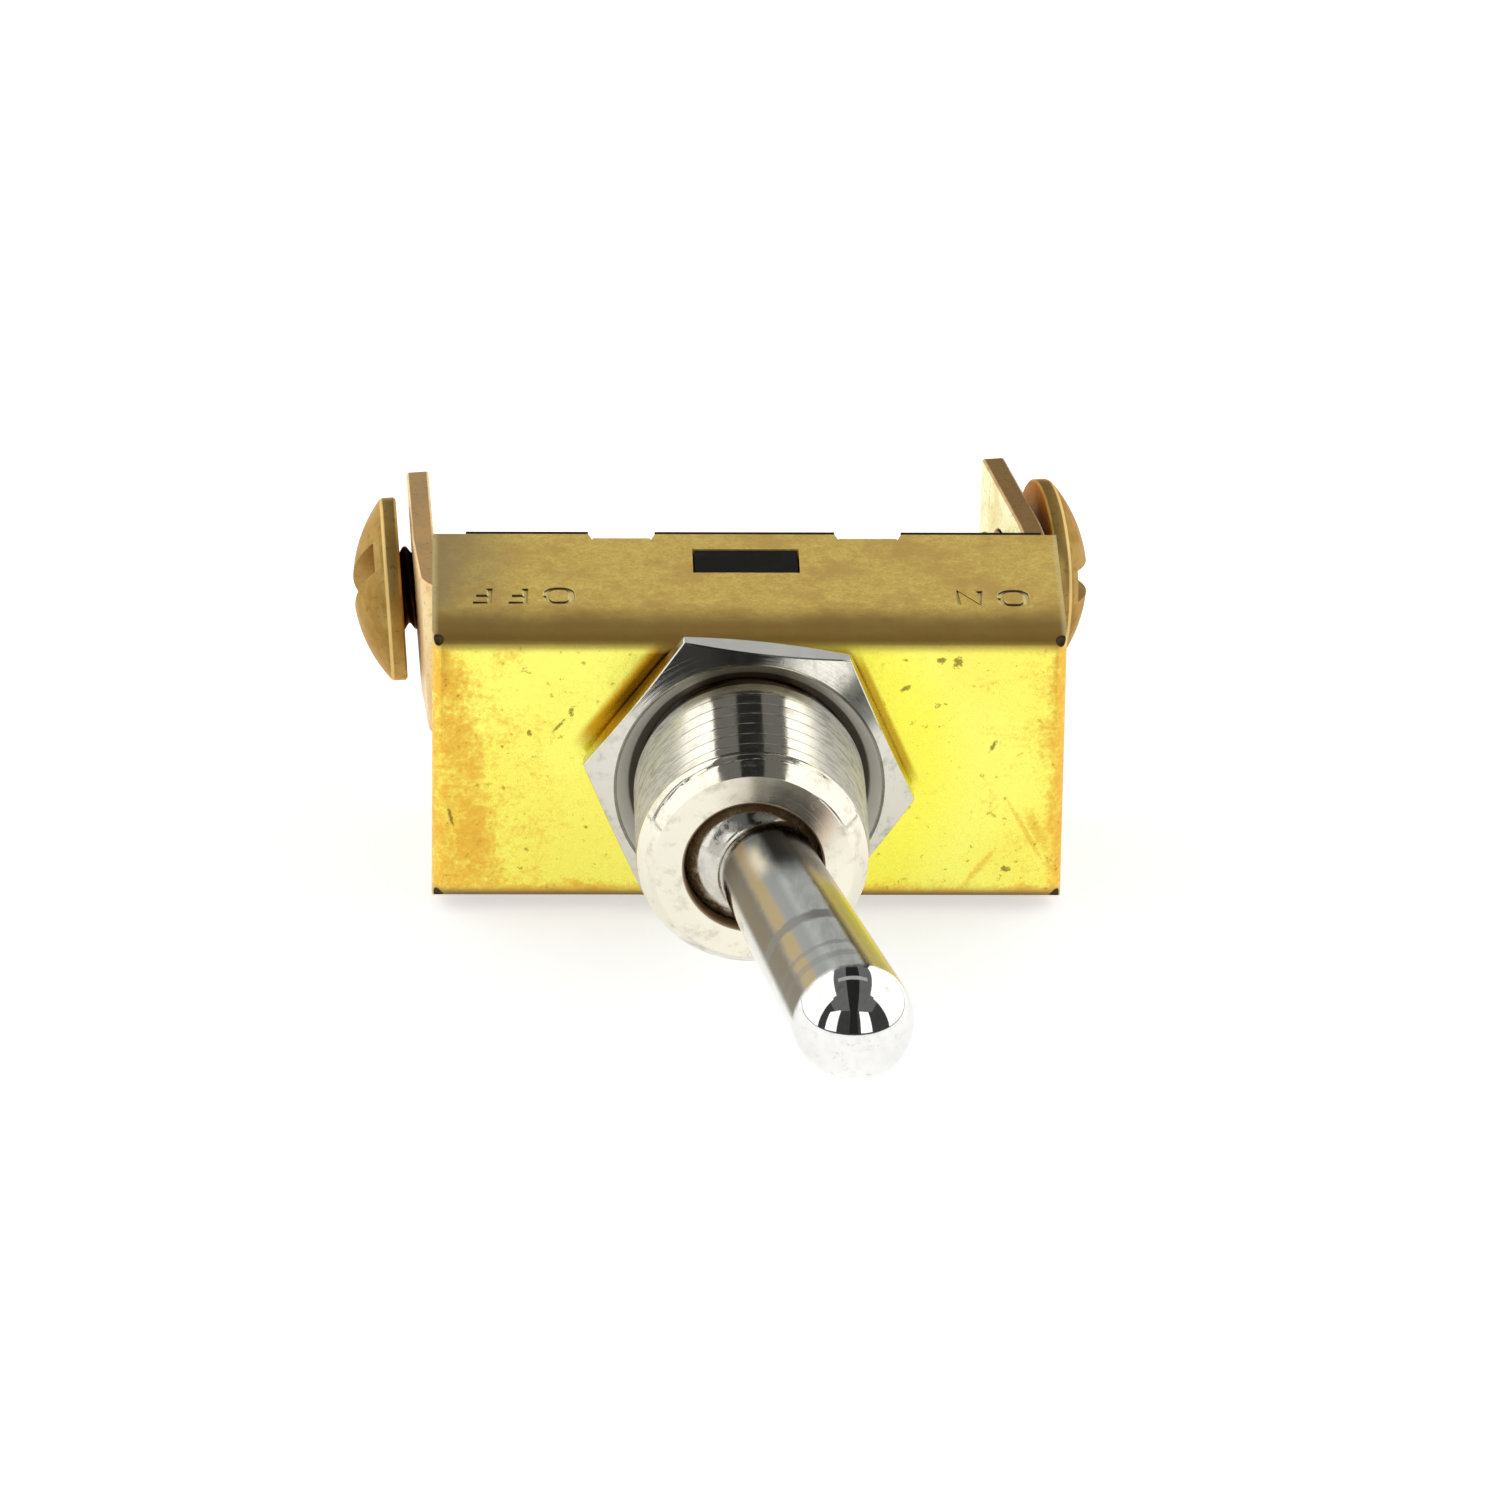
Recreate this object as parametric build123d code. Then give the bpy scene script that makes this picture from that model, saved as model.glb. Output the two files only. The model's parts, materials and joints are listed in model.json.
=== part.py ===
from build123d import *
from collections import namedtuple
from math import acos, asin, atan2, cos, hypot, pi, radians, sin, tan
import os

# A panel-mounted toggle switch for a car's ignition: brass case, threaded bushing, bat lever, and a
# rocking contact inside that joins two strip terminals. Sizes are in millimetres.
# The origin is where the bushing's axis meets the case's front face. +Z runs along the bushing
# towards the lever's tip, +X along the case to its ON end, and +Y to the lettered long side.
# The lever is drawn at ON, tipped towards +X, with the contacts closed.

# Case, folded from one sheet
case_length = 34.7
case_width = 16.0
case_depth = 13.65
sheet = 0.6
case_bend = 1.0
seam = 0.12
corner_relief = 0.33
side_slot_length = 5.9
side_slot_height = 3.15
side_slot_behind_front = 10.1
tab_pitch = 13.7
tab_width = 3.2
tab_length = 2.2
tab_bend = 0.7
tab_relief = 0.25

# Bushing, with the half-inch fine thread at its crest, and at its pitch radius under the nut
thread_radius = 6.35
pitch_radius = 5.95
bushing_height = 12.15
bevel_height = 1.4
rim_radius = 5.4
mouth_radius = 3.75
bore_flare = 0.45
flare_height = 5.6
flange_inset = 0.4
flange_thickness = 1.0

# Mounting nut
nut_across_flats = 15.88
nut_thickness = 2.05
nut_off_case = 0.1
nut_turn = -6.6
nut_recess_radius = 7.35
nut_face_ring = 0.1
nut_face_slope = 20.0

# Lever
pivot_height = 9.2
lever_tilt = 12.6
ball_radius = 4.2
lever_root_radius = 2.7
lever_tip_radius = 3.25
lever_reach = 21.8
lever_neck_fillet = 0.5
shank_radius = 2.1
shank_reach = 10.3
pocket_top = 2.0
lever_pin_radius = 0.75
lever_pin_length = 9.8

# Plunger and its spring
plunger_radius = 1.4
plunger_length = 7.0
spring_wire = 0.4
spring_turns = 6
spigot_radius = 0.6
spigot_length = 0.9

# Base and liner
base_proud = 0.45
base_wall = 1.6
base_floor = 3.8
base_edge = 0.15
lip_inset = 1.35
lip_shift = 0.5
lug_sunk = 0.05
liner_thickness = 0.4
liner_opening_length = 8.8
liner_opening_width = 4.4

# Rocker, its contacts and what carries it
rocker_tilt = 7.5
rocker_thickness = 1.0
rocker_width = 5.0
nose_rise = 3.5
valley_margin = 5.0
hump_land = 0.95
knee_land = 0.55
bend_share = 0.8
arm_past_contact = 2.1
rivet_inset = 7.25
contact_radius = 1.75
contact_thickness = 0.7
lug_thickness = 0.8
lug_half_length = 1.7
lug_below_pin = 1.3
rocker_pin_radius = 0.8
rocker_pin_overhang = 0.3
bracket_thickness = 0.8
ear_half_length = 1.7
ear_above_pin = 1.4
bracket_left_reach = 2.6
bracket_past_rivet = 2.7

# Rivets
rivet_radius = 1.3
rivet_head_radius = 2.3
rivet_head_height = 0.8
rivet_upset_height = 0.9

# Terminals, bent from strip, and their screws
strip_width = 9.5
strip_thickness = 1.27
strip_bend = 2.5
strip_corner = 0.4
terminal_reach = 17.86
foot_past_rivet = 2.8
lower_plate_length = 4.75
upper_plate_length = 9.5
screw_hole_past_kink = 3.8
screw_radius = 2.38
screw_length = 3.4
screw_head_radius = 5.2
screw_rim = 0.85
screw_dome = 1.9
screw_slot_width = 1.8
screw_slot_depth = 1.3
screw_tip_chamfer = 0.4

# Clearances
slide_gap = 0.1
running_gap = 0.05
touch_gap = 0.03
sheet_gap = 0.05

# How each terminal is bent out of true, in degrees: turned about its rivet, its plate leaning
# outwards to the rear below and above the kink, and twisted; then its screw's gap and slot angle
Bend = namedtuple("Bend", "heading turn lower_lean upper_lean twist screw_gap slot_turn")
left_bend = Bend(180.0, 3.5, 4.8, 2.1, 0.0, 0.73, 50.0)
right_bend = Bend(0.0, 5.3, -12.6, -9.9, 6.1, 0.83, -11.0)

# Places that follow from the sizes
wall_x = case_length / 2 - sheet
wall_y = case_width / 2 - sheet
contact_reach = wall_x - rivet_inset
flange_radius = wall_y - flange_inset
flange_back = -sheet - flange_thickness
liner_back = flange_back - liner_thickness
base_rear = -case_depth - base_proud
floor_top = base_rear + base_floor
rivet_head_top = floor_top + rivet_head_height
contact_top = rivet_head_top + contact_thickness
fulcrum_height = contact_top + touch_gap + contact_thickness + rocker_thickness / 2
nose_reach = pivot_height - fulcrum_height - nose_rise
bracket_top = floor_top + bracket_thickness
stop_top = fulcrum_height - rocker_thickness / 2 - touch_gap
bore_radius = ball_radius + slide_gap
pocket_radius = plunger_radius + running_gap
spring_radius = pocket_radius - running_gap - spring_wire / 2
plunger_top = nose_reach - plunger_length
ear_inside = rocker_width / 2 + slide_gap
strip_inner_bend = strip_bend - strip_thickness
pivot = Pos(0, 0, pivot_height)
fulcrum = Pos(0, 0, fulcrum_height)
lever_place = pivot * Rot(0, lever_tilt, 0)
rocker_place = fulcrum * Rot(0, -rocker_tilt, 0)


def block(x0, x1, y0, y1, z0, z1):
    """A box between two corners."""
    size = (abs(x1 - x0), abs(y1 - y0), abs(z1 - z0))
    return Pos((x0 + x1) / 2, (y0 + y1) / 2, (z0 + z1) / 2) * Box(*size)


def disc(radius, z0, z1, x=0.0, y=0.0):
    """An upright cylinder between two heights."""
    return Pos(x, y, (z0 + z1) / 2) * Cylinder(radius, abs(z1 - z0))


def cross_rod(radius, y0, y1, x=0.0, z=0.0):
    """A cylinder that lies along Y."""
    return Pos(x, (y0 + y1) / 2, z) * Rot(90, 0, 0) * Cylinder(radius, abs(y1 - y0))


def profile(*points):
    """A closed outline of straight lines as a face in the XZ plane."""
    return make_face(Polyline(*[(x, 0, z) for x, z in points], close=True))


def make_case():
    """Front plate and four walls with open seams, corner reliefs, two side slots and four crimp tabs."""
    def rounded_box(inset, radius):
        half_x = case_length / 2 - inset
        half_y = case_width / 2 - inset
        box = block(-half_x, half_x, -half_y, half_y, -case_depth - inset, -inset)
        return fillet(box.edges().group_by(Axis.Z)[-1], radius)

    shell = rounded_box(0, case_bend) - rounded_box(sheet, case_bend - sheet)
    shell -= disc(pitch_radius + sheet_gap, -sheet * 2, sheet)
    slot = block(-side_slot_length / 2, side_slot_length / 2, -case_width, case_width,
                 -side_slot_behind_front - side_slot_height / 2,
                 -side_slot_behind_front + side_slot_height / 2)
    shell -= slot
    for side_x in (-1, 1):
        for side_y in (-1, 1):
            shell -= block(side_x * (wall_x - seam), side_x * case_length, side_y * (wall_y - seam),
                           side_y * wall_y, -case_depth * 2, -case_bend)
            shell -= Pos(side_x * (case_length - sheet) / 2, side_y * (case_width - sheet) / 2,
                         -sheet / 2) * Sphere(corner_relief)

    tangent = -case_depth + tab_bend
    notch = profile((-tab_width / 2 - tab_relief, -case_depth - sheet),
                    (-tab_width / 2 - tab_relief, -case_depth),
                    (-tab_width / 2 - sheet_gap, tangent), (tab_width / 2 + sheet_gap, tangent),
                    (tab_width / 2 + tab_relief, -case_depth),
                    (tab_width / 2 + tab_relief, -case_depth - sheet))
    notch = extrude(notch, case_width, both=True)
    outside = case_width / 2
    centre = outside - tab_bend
    reach = outside - tab_length
    inner = tab_bend - sheet
    ring = Rot(0, 90, 0) * (Cylinder(tab_bend, tab_width) - Cylinder(inner, tab_width))
    quarter = ring & block(-tab_width, tab_width, 0, tab_bend, -tab_bend, 0)
    tab = Pos(0, centre, tangent) * quarter
    tab += block(-tab_width / 2, tab_width / 2, reach, centre, -case_depth, -case_depth + sheet)
    for side_x in (-1, 1):
        shell -= Pos(side_x * tab_pitch / 2, 0, 0) * notch
    for side_x in (-1, 1):
        for heading in (0, 180):
            shell += Rot(0, 0, heading) * Pos(side_x * tab_pitch / 2, 0, 0) * tab
    return shell


def make_bushing():
    """Turned bushing: flange, thread, bevelled rim, ball seat, flared bore and two pin grooves."""
    nut_front = nut_off_case + nut_thickness + slide_gap
    bevel_start = bushing_height - bevel_height
    body = disc(flange_radius, flange_back, -sheet)
    body += disc(pitch_radius, -sheet, nut_front)
    body += disc(thread_radius, nut_front, bevel_start)
    body += Pos(0, 0, bushing_height - bevel_height / 2) * Cone(thread_radius, rim_radius, bevel_height)
    body -= disc(mouth_radius, pivot_height, bushing_height * 2)
    body -= pivot * Sphere(ball_radius + running_gap)
    body -= disc(bore_radius, flange_back * 2, pivot_height)
    flare = Cone(bore_radius + bore_flare, bore_radius, flare_height)
    body -= Pos(0, 0, flange_back + flare_height / 2) * flare
    groove_end = lever_pin_length / 2 + slide_gap
    groove_half = lever_pin_radius + running_gap
    body -= cross_rod(groove_half, -groove_end, groove_end, z=pivot_height)
    body -= block(-groove_half, groove_half, -groove_end, groove_end, flange_back * 2, pivot_height)
    return body


def make_nut():
    """Thin hex nut, both faces sloping off to the corners, and the front countersunk."""
    corner = nut_across_flats / 2 / cos(radians(30))
    low = nut_off_case
    high = nut_off_case + nut_thickness
    flat = Pos(0, 0, low) * Rot(0, 0, nut_turn) * RegularPolygon(corner, 6)
    nut = extrude(flat, nut_thickness)
    face = nut_recess_radius + nut_face_ring
    drop = (corner - face) * tan(radians(nut_face_slope))
    ring = profile((0, low), (face, low), (corner, low + drop), (corner, high - drop), (face, high), (0, high))
    nut &= revolve(ring, Axis.Z)
    nut -= disc(pitch_radius + running_gap, low - nut_thickness, high + nut_thickness)
    sink = nut_recess_radius - pitch_radius - running_gap
    nut -= Pos(0, 0, high - sink / 2) * Cone(pitch_radius + running_gap, nut_recess_radius, sink)
    return nut


def make_lever():
    """Bat handle, ball and hollow shank in one turned piece, with a cross hole for its pin."""
    root_height = (ball_radius**2 - lever_root_radius**2) ** 0.5
    shank_height = (ball_radius**2 - shank_radius**2) ** 0.5
    rise = lever_reach - root_height
    taper = atan2(rise, lever_root_radius) - acos(lever_tip_radius / hypot(rise, lever_root_radius))
    tip_start = (lever_tip_radius * cos(taper), lever_reach - lever_tip_radius * sin(taper))
    corner = lever_tip_radius * sin(pi / 4)
    outline = [
        Polyline((0, 0, lever_reach + lever_tip_radius), (0, 0, -shank_reach),
                 (shank_radius, 0, -shank_reach), (shank_radius, 0, -shank_height)),
        ThreePointArc((shank_radius, 0, -shank_height), (ball_radius, 0, 0),
                      (lever_root_radius, 0, root_height)),
        Line((lever_root_radius, 0, root_height), (tip_start[0], 0, tip_start[1])),
        ThreePointArc((tip_start[0], 0, tip_start[1]), (corner, 0, lever_reach + corner),
                      (0, 0, lever_reach + lever_tip_radius)),
    ]
    lever = revolve(make_face(outline), Axis.Z)
    necks = [edge for edge in lever.edges().filter_by(GeomType.CIRCLE)
             if min(abs(edge.center().Z - root_height), abs(edge.center().Z + shank_height)) < touch_gap]
    lever = fillet(necks, lever_neck_fillet)
    lever -= disc(pocket_radius, -shank_reach * 2, -pocket_top)
    lever -= cross_rod(lever_pin_radius, -ball_radius * 2, ball_radius * 2)
    return lever_place * lever


def make_lever_pin():
    """Cross pin, held in the ball and turning in the bushing's grooves."""
    return lever_place * cross_rod(lever_pin_radius, -lever_pin_length / 2, lever_pin_length / 2)


def make_plunger():
    """Round-nosed fibre plunger with a spigot for the spring."""
    body = disc(plunger_radius, -nose_reach, -plunger_top)
    body += Pos(0, 0, -nose_reach) * Sphere(plunger_radius)
    body += disc(spigot_radius, -plunger_top, -plunger_top + spigot_length)
    return lever_place * body


def make_spring():
    """Compression spring between the pocket's top and the plunger."""
    length = plunger_top - pocket_top - spring_wire - touch_gap * 2
    path = Helix(length / spring_turns, length, spring_radius)
    section = Plane(path @ 0, z_dir=path % 0) * Circle(spring_wire / 2)
    coil = sweep(section, path)
    return lever_place * Pos(0, 0, -plunger_top + spring_wire / 2 + touch_gap) * coil


def make_rocker():
    """Formed contact arm: a valley that follows the plunger's nose, two humps, two level arms, two lugs."""
    swing = radians(lever_tilt)
    turn = radians(rocker_tilt)
    nose_x = -nose_reach * sin(swing)
    nose_z = pivot_height - fulcrum_height - nose_reach * cos(swing)
    end_x = nose_x * cos(turn) + nose_z * sin(turn)
    end_rise = nose_z * cos(turn) - nose_x * sin(turn) - nose_rise
    path_radius = (end_x**2 + end_rise**2) / (2 * end_rise)
    middle = plunger_radius + touch_gap + rocker_thickness / 2
    valley_radius = path_radius + middle
    slope = asin(-end_x / path_radius) + radians(valley_margin)
    vertex = nose_rise - middle - valley_radius * (1 / cos(slope) - 1)
    hump_reach = valley_radius * sin(slope) + hump_land * cos(slope)
    hump_height = vertex + hump_reach * tan(slope)
    knee_reach = contact_reach - contact_radius - knee_land
    arm_reach = contact_reach + arm_past_contact
    half = [(arm_reach * cos(turn), arm_reach * sin(turn)), (knee_reach * cos(turn), knee_reach * sin(turn)),
            (hump_reach, hump_height)]
    fall = atan2(hump_height - half[1][1], half[1][0] - hump_reach)
    hump_fillet = bend_share * hump_land / tan((slope + fall) / 2)
    knee_fillet = bend_share * knee_land / tan((fall + turn) / 2)
    points = [(-x, z) for x, z in half] + [(0, vertex)] + half[::-1]
    fillets = [knee_fillet, hump_fillet, valley_radius, hump_fillet, knee_fillet]
    line = FilletPolyline(*points, radius=fillets)
    strip = Plane.XZ * trace(line, rocker_thickness)
    rocker = extrude(strip, rocker_width / 2, both=True)
    under = nose_rise - middle
    lug = block(-lug_half_length, lug_half_length, 0, lug_thickness, -lug_below_pin, under)
    lug = fillet(lug.edges().filter_by(Axis.Y).group_by(Axis.Z)[0], lug_below_pin - touch_gap)
    rocker += Pos(0, rocker_width / 2 - lug_thickness, 0) * lug
    rocker += Pos(0, -rocker_width / 2, 0) * lug
    rocker -= cross_rod(rocker_pin_radius + running_gap, -rocker_width, rocker_width)
    return rocker_place * rocker


def make_moving_contact():
    """Silver button under the rocker's arm, level with the fixed contact when closed."""
    low = fulcrum_height - rocker_thickness / 2 - contact_thickness
    return disc(contact_radius, low, low + contact_thickness, x=-contact_reach)


def make_fixed_contact():
    """Silver button on the contact rivet's head."""
    return disc(contact_radius, rivet_head_top, contact_top, x=-contact_reach)


def make_rocker_pin():
    """Pivot pin, held in the bracket's ears."""
    half = ear_inside + bracket_thickness + rocker_pin_overhang
    return fulcrum * cross_rod(rocker_pin_radius, -half, half)


def make_bracket():
    """Strip on the base's floor with two ears for the rocker's pin and a hole for its rivet."""
    half_width = ear_inside + bracket_thickness
    bracket = block(-bracket_left_reach, contact_reach + bracket_past_rivet, -half_width, half_width,
                    floor_top, bracket_top)
    ear_top = fulcrum_height + ear_above_pin
    ear = block(-ear_half_length, ear_half_length, ear_inside, half_width, floor_top, ear_top)
    ear = fillet(ear.edges().filter_by(Axis.Y).group_by(Axis.Z)[-1], ear_above_pin - touch_gap)
    bracket += ear
    bracket += Rot(0, 0, 180) * ear
    bracket -= fulcrum * cross_rod(rocker_pin_radius, -case_width, case_width)
    bracket -= disc(rivet_radius, base_rear, 0, x=contact_reach)
    return bracket


def make_rivet(x, head_low, head_high):
    """Rivet through the base's floor and a terminal's foot, its rear end upset into a low dome."""
    foot_rear = base_rear - strip_thickness
    rivet = disc(rivet_radius, foot_rear, head_low, x=x)
    rivet += disc(rivet_head_radius, head_low, head_high, x=x)
    dome_radius = (rivet_head_radius**2 + rivet_upset_height**2) / (2 * rivet_upset_height)
    dome = Pos(x, 0, foot_rear - rivet_upset_height + dome_radius) * Sphere(dome_radius)
    reach = rivet_head_radius * 2
    rivet += dome & block(x - reach, x + reach, -reach, reach, foot_rear - reach, foot_rear)
    return rivet


def make_base():
    """Moulded cup: floor, four walls, a lip behind the case's long edges, two locating lugs, four tab pockets."""
    half_x = wall_x - slide_gap
    half_y = wall_y - slide_gap
    lip_x = case_length / 2 - lip_inset
    lip_y = case_width / 2
    base = block(-half_x, half_x, -half_y, half_y, base_rear, liner_back)
    base += block(lip_shift - lip_x, lip_shift + lip_x, -lip_y, lip_y, base_rear, -case_depth - sheet_gap)
    base = chamfer(base.edges().group_by(Axis.Z)[0], base_edge)
    base -= block(base_wall - half_x, half_x - base_wall, base_wall - half_y, half_y - base_wall,
                  floor_top, 0)
    lug_y = case_width / 2 - lug_sunk
    lug_half = side_slot_height / 2 - slide_gap
    lug = block(slide_gap - side_slot_length / 2, side_slot_length / 2 - slide_gap,
                half_y - base_wall, lug_y, -side_slot_behind_front - lug_half,
                -side_slot_behind_front + lug_half)
    pocket = block(-tab_width / 2 - tab_relief, tab_width / 2 + tab_relief,
                   case_width / 2 - tab_length - slide_gap, case_width,
                   base_rear * 2, -case_depth + sheet + sheet_gap)
    bend_room = block(-tab_width / 2 - tab_relief, tab_width / 2 + tab_relief,
                      case_width / 2 - tab_bend - slide_gap, case_width,
                      base_rear * 2, -case_depth + tab_bend + sheet_gap)
    pocket += bend_room
    for heading in (0, 180):
        base += Rot(0, 0, heading) * lug
        for side_x in (-1, 1):
            base -= Rot(0, 0, heading) * Pos(side_x * tab_pitch / 2, 0, 0) * pocket
            base -= disc(rivet_radius, base_rear * 2, 0, x=side_x * contact_reach)
    return base


def make_liner():
    """Fibre sheet with a long opening for the lever's swing."""
    half_x = wall_x - slide_gap
    half_y = wall_y - slide_gap
    liner = block(-half_x, half_x, -half_y, half_y, liner_back, flange_back)
    opening = SlotOverall(liner_opening_length, liner_opening_width)
    return liner - extrude(Pos(0, 0, liner_back) * opening, liner_thickness * 3, both=True)


def foot_place(bend):
    """Carries a terminal from its true place at +X to its end of the case, turned about its rivet."""
    about_rivet = Pos(contact_reach, 0, 0) * Rot(0, 0, bend.turn) * Pos(-contact_reach, 0, 0)
    return Rot(0, 0, bend.heading) * about_rivet


def plate_place(bend):
    """Carries a plate drawn about the strip's middle to the kink: X outwards, Z to the rear."""
    lower = radians(bend.lower_lean)
    upper = radians(bend.upper_lean)
    kink = (terminal_reach - strip_thickness / 2 + lower_plate_length * sin(lower), 0,
            base_rear - strip_bend - lower_plate_length * cos(lower))
    plane = Plane(origin=kink, x_dir=(cos(upper), 0, sin(upper)), z_dir=(sin(upper), 0, -cos(upper)))
    return plane.location * Rot(0, 0, bend.twist)


def make_terminal(bend):
    """L-shaped strip: foot under the rivet, round bend, a slightly twisted run and a flat screw plate."""
    foot_end = contact_reach - foot_past_rivet
    turn_x = terminal_reach - strip_bend
    turn_z = base_rear - strip_bend
    outer_mid = strip_bend * sin(pi / 4)
    inner_mid = strip_inner_bend * sin(pi / 4)
    outline = [
        Line((foot_end, 0, base_rear), (turn_x, 0, base_rear)),
        ThreePointArc((turn_x, 0, base_rear), (turn_x + outer_mid, 0, turn_z + outer_mid),
                      (terminal_reach, 0, turn_z)),
        Line((terminal_reach, 0, turn_z), (terminal_reach - strip_thickness, 0, turn_z)),
        ThreePointArc((terminal_reach - strip_thickness, 0, turn_z),
                      (turn_x + inner_mid, 0, turn_z + inner_mid), (turn_x, 0, turn_z + strip_inner_bend)),
        Polyline((turn_x, 0, turn_z + strip_inner_bend), (foot_end, 0, base_rear - strip_thickness),
                 (foot_end, 0, base_rear)),
    ]
    strip = extrude(make_face(outline), strip_width / 2, both=True)
    strip -= disc(rivet_radius, base_rear * 2, 0, x=contact_reach)
    start = Plane(origin=(terminal_reach - strip_thickness / 2, 0, turn_z), x_dir=(1, 0, 0), z_dir=(0, 0, -1))
    kink = plate_place(bend)
    section = Rectangle(strip_thickness, strip_width)
    strip += loft([start * section, kink * section], ruled=True)
    plate = extrude(section, upper_plate_length)
    corners = plate.edges().filter_by(Axis.X).group_by(Axis.Z)[-1]
    plate = fillet(corners, strip_corner)
    plate -= screw_axis() * Cylinder(screw_radius + running_gap, strip_thickness * 3)
    strip += kink * plate
    return foot_place(bend) * strip


def screw_axis():
    """Place of the screw's axis on the plate, its local Z pointing outwards."""
    return Pos(0, 0, screw_hole_past_kink) * Rot(0, 90, 0)


def make_screw(bend):
    """Slotted binding-head screw, its head a little off the plate."""
    under = strip_thickness / 2 + bend.screw_gap
    shank = disc(screw_radius, under - screw_length, under)
    shank = chamfer(shank.edges().group_by(Axis.Z)[0], screw_tip_chamfer)
    head = disc(screw_head_radius, under, under + screw_rim)
    dome_radius = (screw_head_radius**2 + screw_dome**2) / (2 * screw_dome)
    dome = Pos(0, 0, under + screw_rim + screw_dome - dome_radius) * Sphere(dome_radius)
    reach = screw_head_radius * 2
    head += dome & block(-reach, reach, -reach, reach, under + screw_rim, under + screw_rim + screw_dome * 2)
    top = under + screw_rim + screw_dome
    slot = block(-reach, reach, -screw_slot_width / 2, screw_slot_width / 2, top - screw_slot_depth, top * 2)
    head -= Rot(0, 0, bend.slot_turn) * slot
    return foot_place(bend) * plate_place(bend) * screw_axis() * (shank + head)


nodes = {
    "case": make_case(),
    "bushing": make_bushing(),
    "mounting_nut": make_nut(),
    "lever": make_lever(),
    "lever_pin": make_lever_pin(),
    "plunger": make_plunger(),
    "plunger_spring": make_spring(),
    "base": make_base(),
    "liner": make_liner(),
    "rocker": make_rocker(),
    "rocker_pin": make_rocker_pin(),
    "moving_contact": make_moving_contact(),
    "fixed_contact": make_fixed_contact(),
    "fulcrum_bracket": make_bracket(),
    "contact_rivet": make_rivet(-contact_reach, floor_top, rivet_head_top),
    "bracket_rivet": make_rivet(contact_reach, bracket_top, stop_top),
    "terminal_left": make_terminal(left_bend),
    "terminal_right": make_terminal(right_bend),
    "terminal_screw_left": make_screw(left_bend),
    "terminal_screw_right": make_screw(right_bend),
}

os.makedirs("parts", exist_ok=True)
for name, shape in nodes.items():
    export_step(shape, f"parts/{name}.step")
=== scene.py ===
import bmesh
import bpy
import json
import math
from mathutils import Matrix, Vector


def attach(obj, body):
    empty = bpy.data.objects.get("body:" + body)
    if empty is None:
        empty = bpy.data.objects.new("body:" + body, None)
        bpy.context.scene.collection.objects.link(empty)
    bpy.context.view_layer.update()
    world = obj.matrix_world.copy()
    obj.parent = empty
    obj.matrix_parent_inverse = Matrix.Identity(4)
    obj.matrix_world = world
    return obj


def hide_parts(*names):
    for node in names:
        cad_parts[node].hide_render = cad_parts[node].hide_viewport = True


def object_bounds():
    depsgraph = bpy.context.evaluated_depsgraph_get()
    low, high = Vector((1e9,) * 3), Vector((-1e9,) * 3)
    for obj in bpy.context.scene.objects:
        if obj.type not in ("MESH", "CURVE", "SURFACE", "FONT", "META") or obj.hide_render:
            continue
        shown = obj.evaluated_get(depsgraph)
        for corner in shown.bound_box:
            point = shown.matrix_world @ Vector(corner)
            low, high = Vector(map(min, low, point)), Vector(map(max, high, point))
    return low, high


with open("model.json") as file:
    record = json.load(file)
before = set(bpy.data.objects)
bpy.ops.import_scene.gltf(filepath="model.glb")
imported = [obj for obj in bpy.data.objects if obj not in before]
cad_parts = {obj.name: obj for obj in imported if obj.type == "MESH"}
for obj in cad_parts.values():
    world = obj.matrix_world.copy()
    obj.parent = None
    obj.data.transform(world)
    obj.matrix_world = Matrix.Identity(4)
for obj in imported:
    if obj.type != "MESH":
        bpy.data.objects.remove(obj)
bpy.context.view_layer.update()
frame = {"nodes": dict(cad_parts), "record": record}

# Metres in a millimetre
MM = 0.001

# Sizes in millimetres, and angles, as the part has them
CASE_HALF_Y = 8.0
CASE_CORNER = (17.05, 7.7, 0.3)
CORNER_RELIEF = 0.33
THREAD_RADIUS = 6.35
BUSHING_HEIGHT = 12.15
BEVEL_HEIGHT = 1.4
RIM_RADIUS = 5.4
MOUTH_RADIUS = 3.75
SEAT_RADIUS = 4.25
BORE_RADIUS = 4.3
BORE_FLARE = 0.45
FLARE_TOP = 4.0
SHEET = 0.6
FLANGE_RADIUS = 7.0
FLANGE_BACK = -1.6
PIVOT_HEIGHT = 9.2
LEVER_TILT = math.radians(12.6)
LEVER_ROOT_RADIUS = 2.7
LEVER_ROOT_HEIGHT = 3.22
LEVER_TIP_RADIUS = 3.25
LEVER_REACH = 21.8
NUT_ACROSS_FLATS = 15.88
NUT_LOW = 0.1
NUT_HIGH = 2.15
NUT_TURN = math.radians(-6.6)
NUT_RECESS_RADIUS = 7.35
NUT_BORE_RADIUS = 6.0
NUT_FACE_RING = 0.1
NUT_CHAMFER_ANGLE = math.radians(20.0)
SCREW_RADIUS = 2.38
SCREW_LENGTH = 3.4
SCREW_HEAD_RADIUS = 5.2
SCREW_RIM = 0.85
SCREW_DOME = 1.9
SCREW_SLOT_WIDTH = 1.8
SCREW_SLOT_DEPTH = 1.3
STRIP_THICKNESS = 1.27

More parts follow.
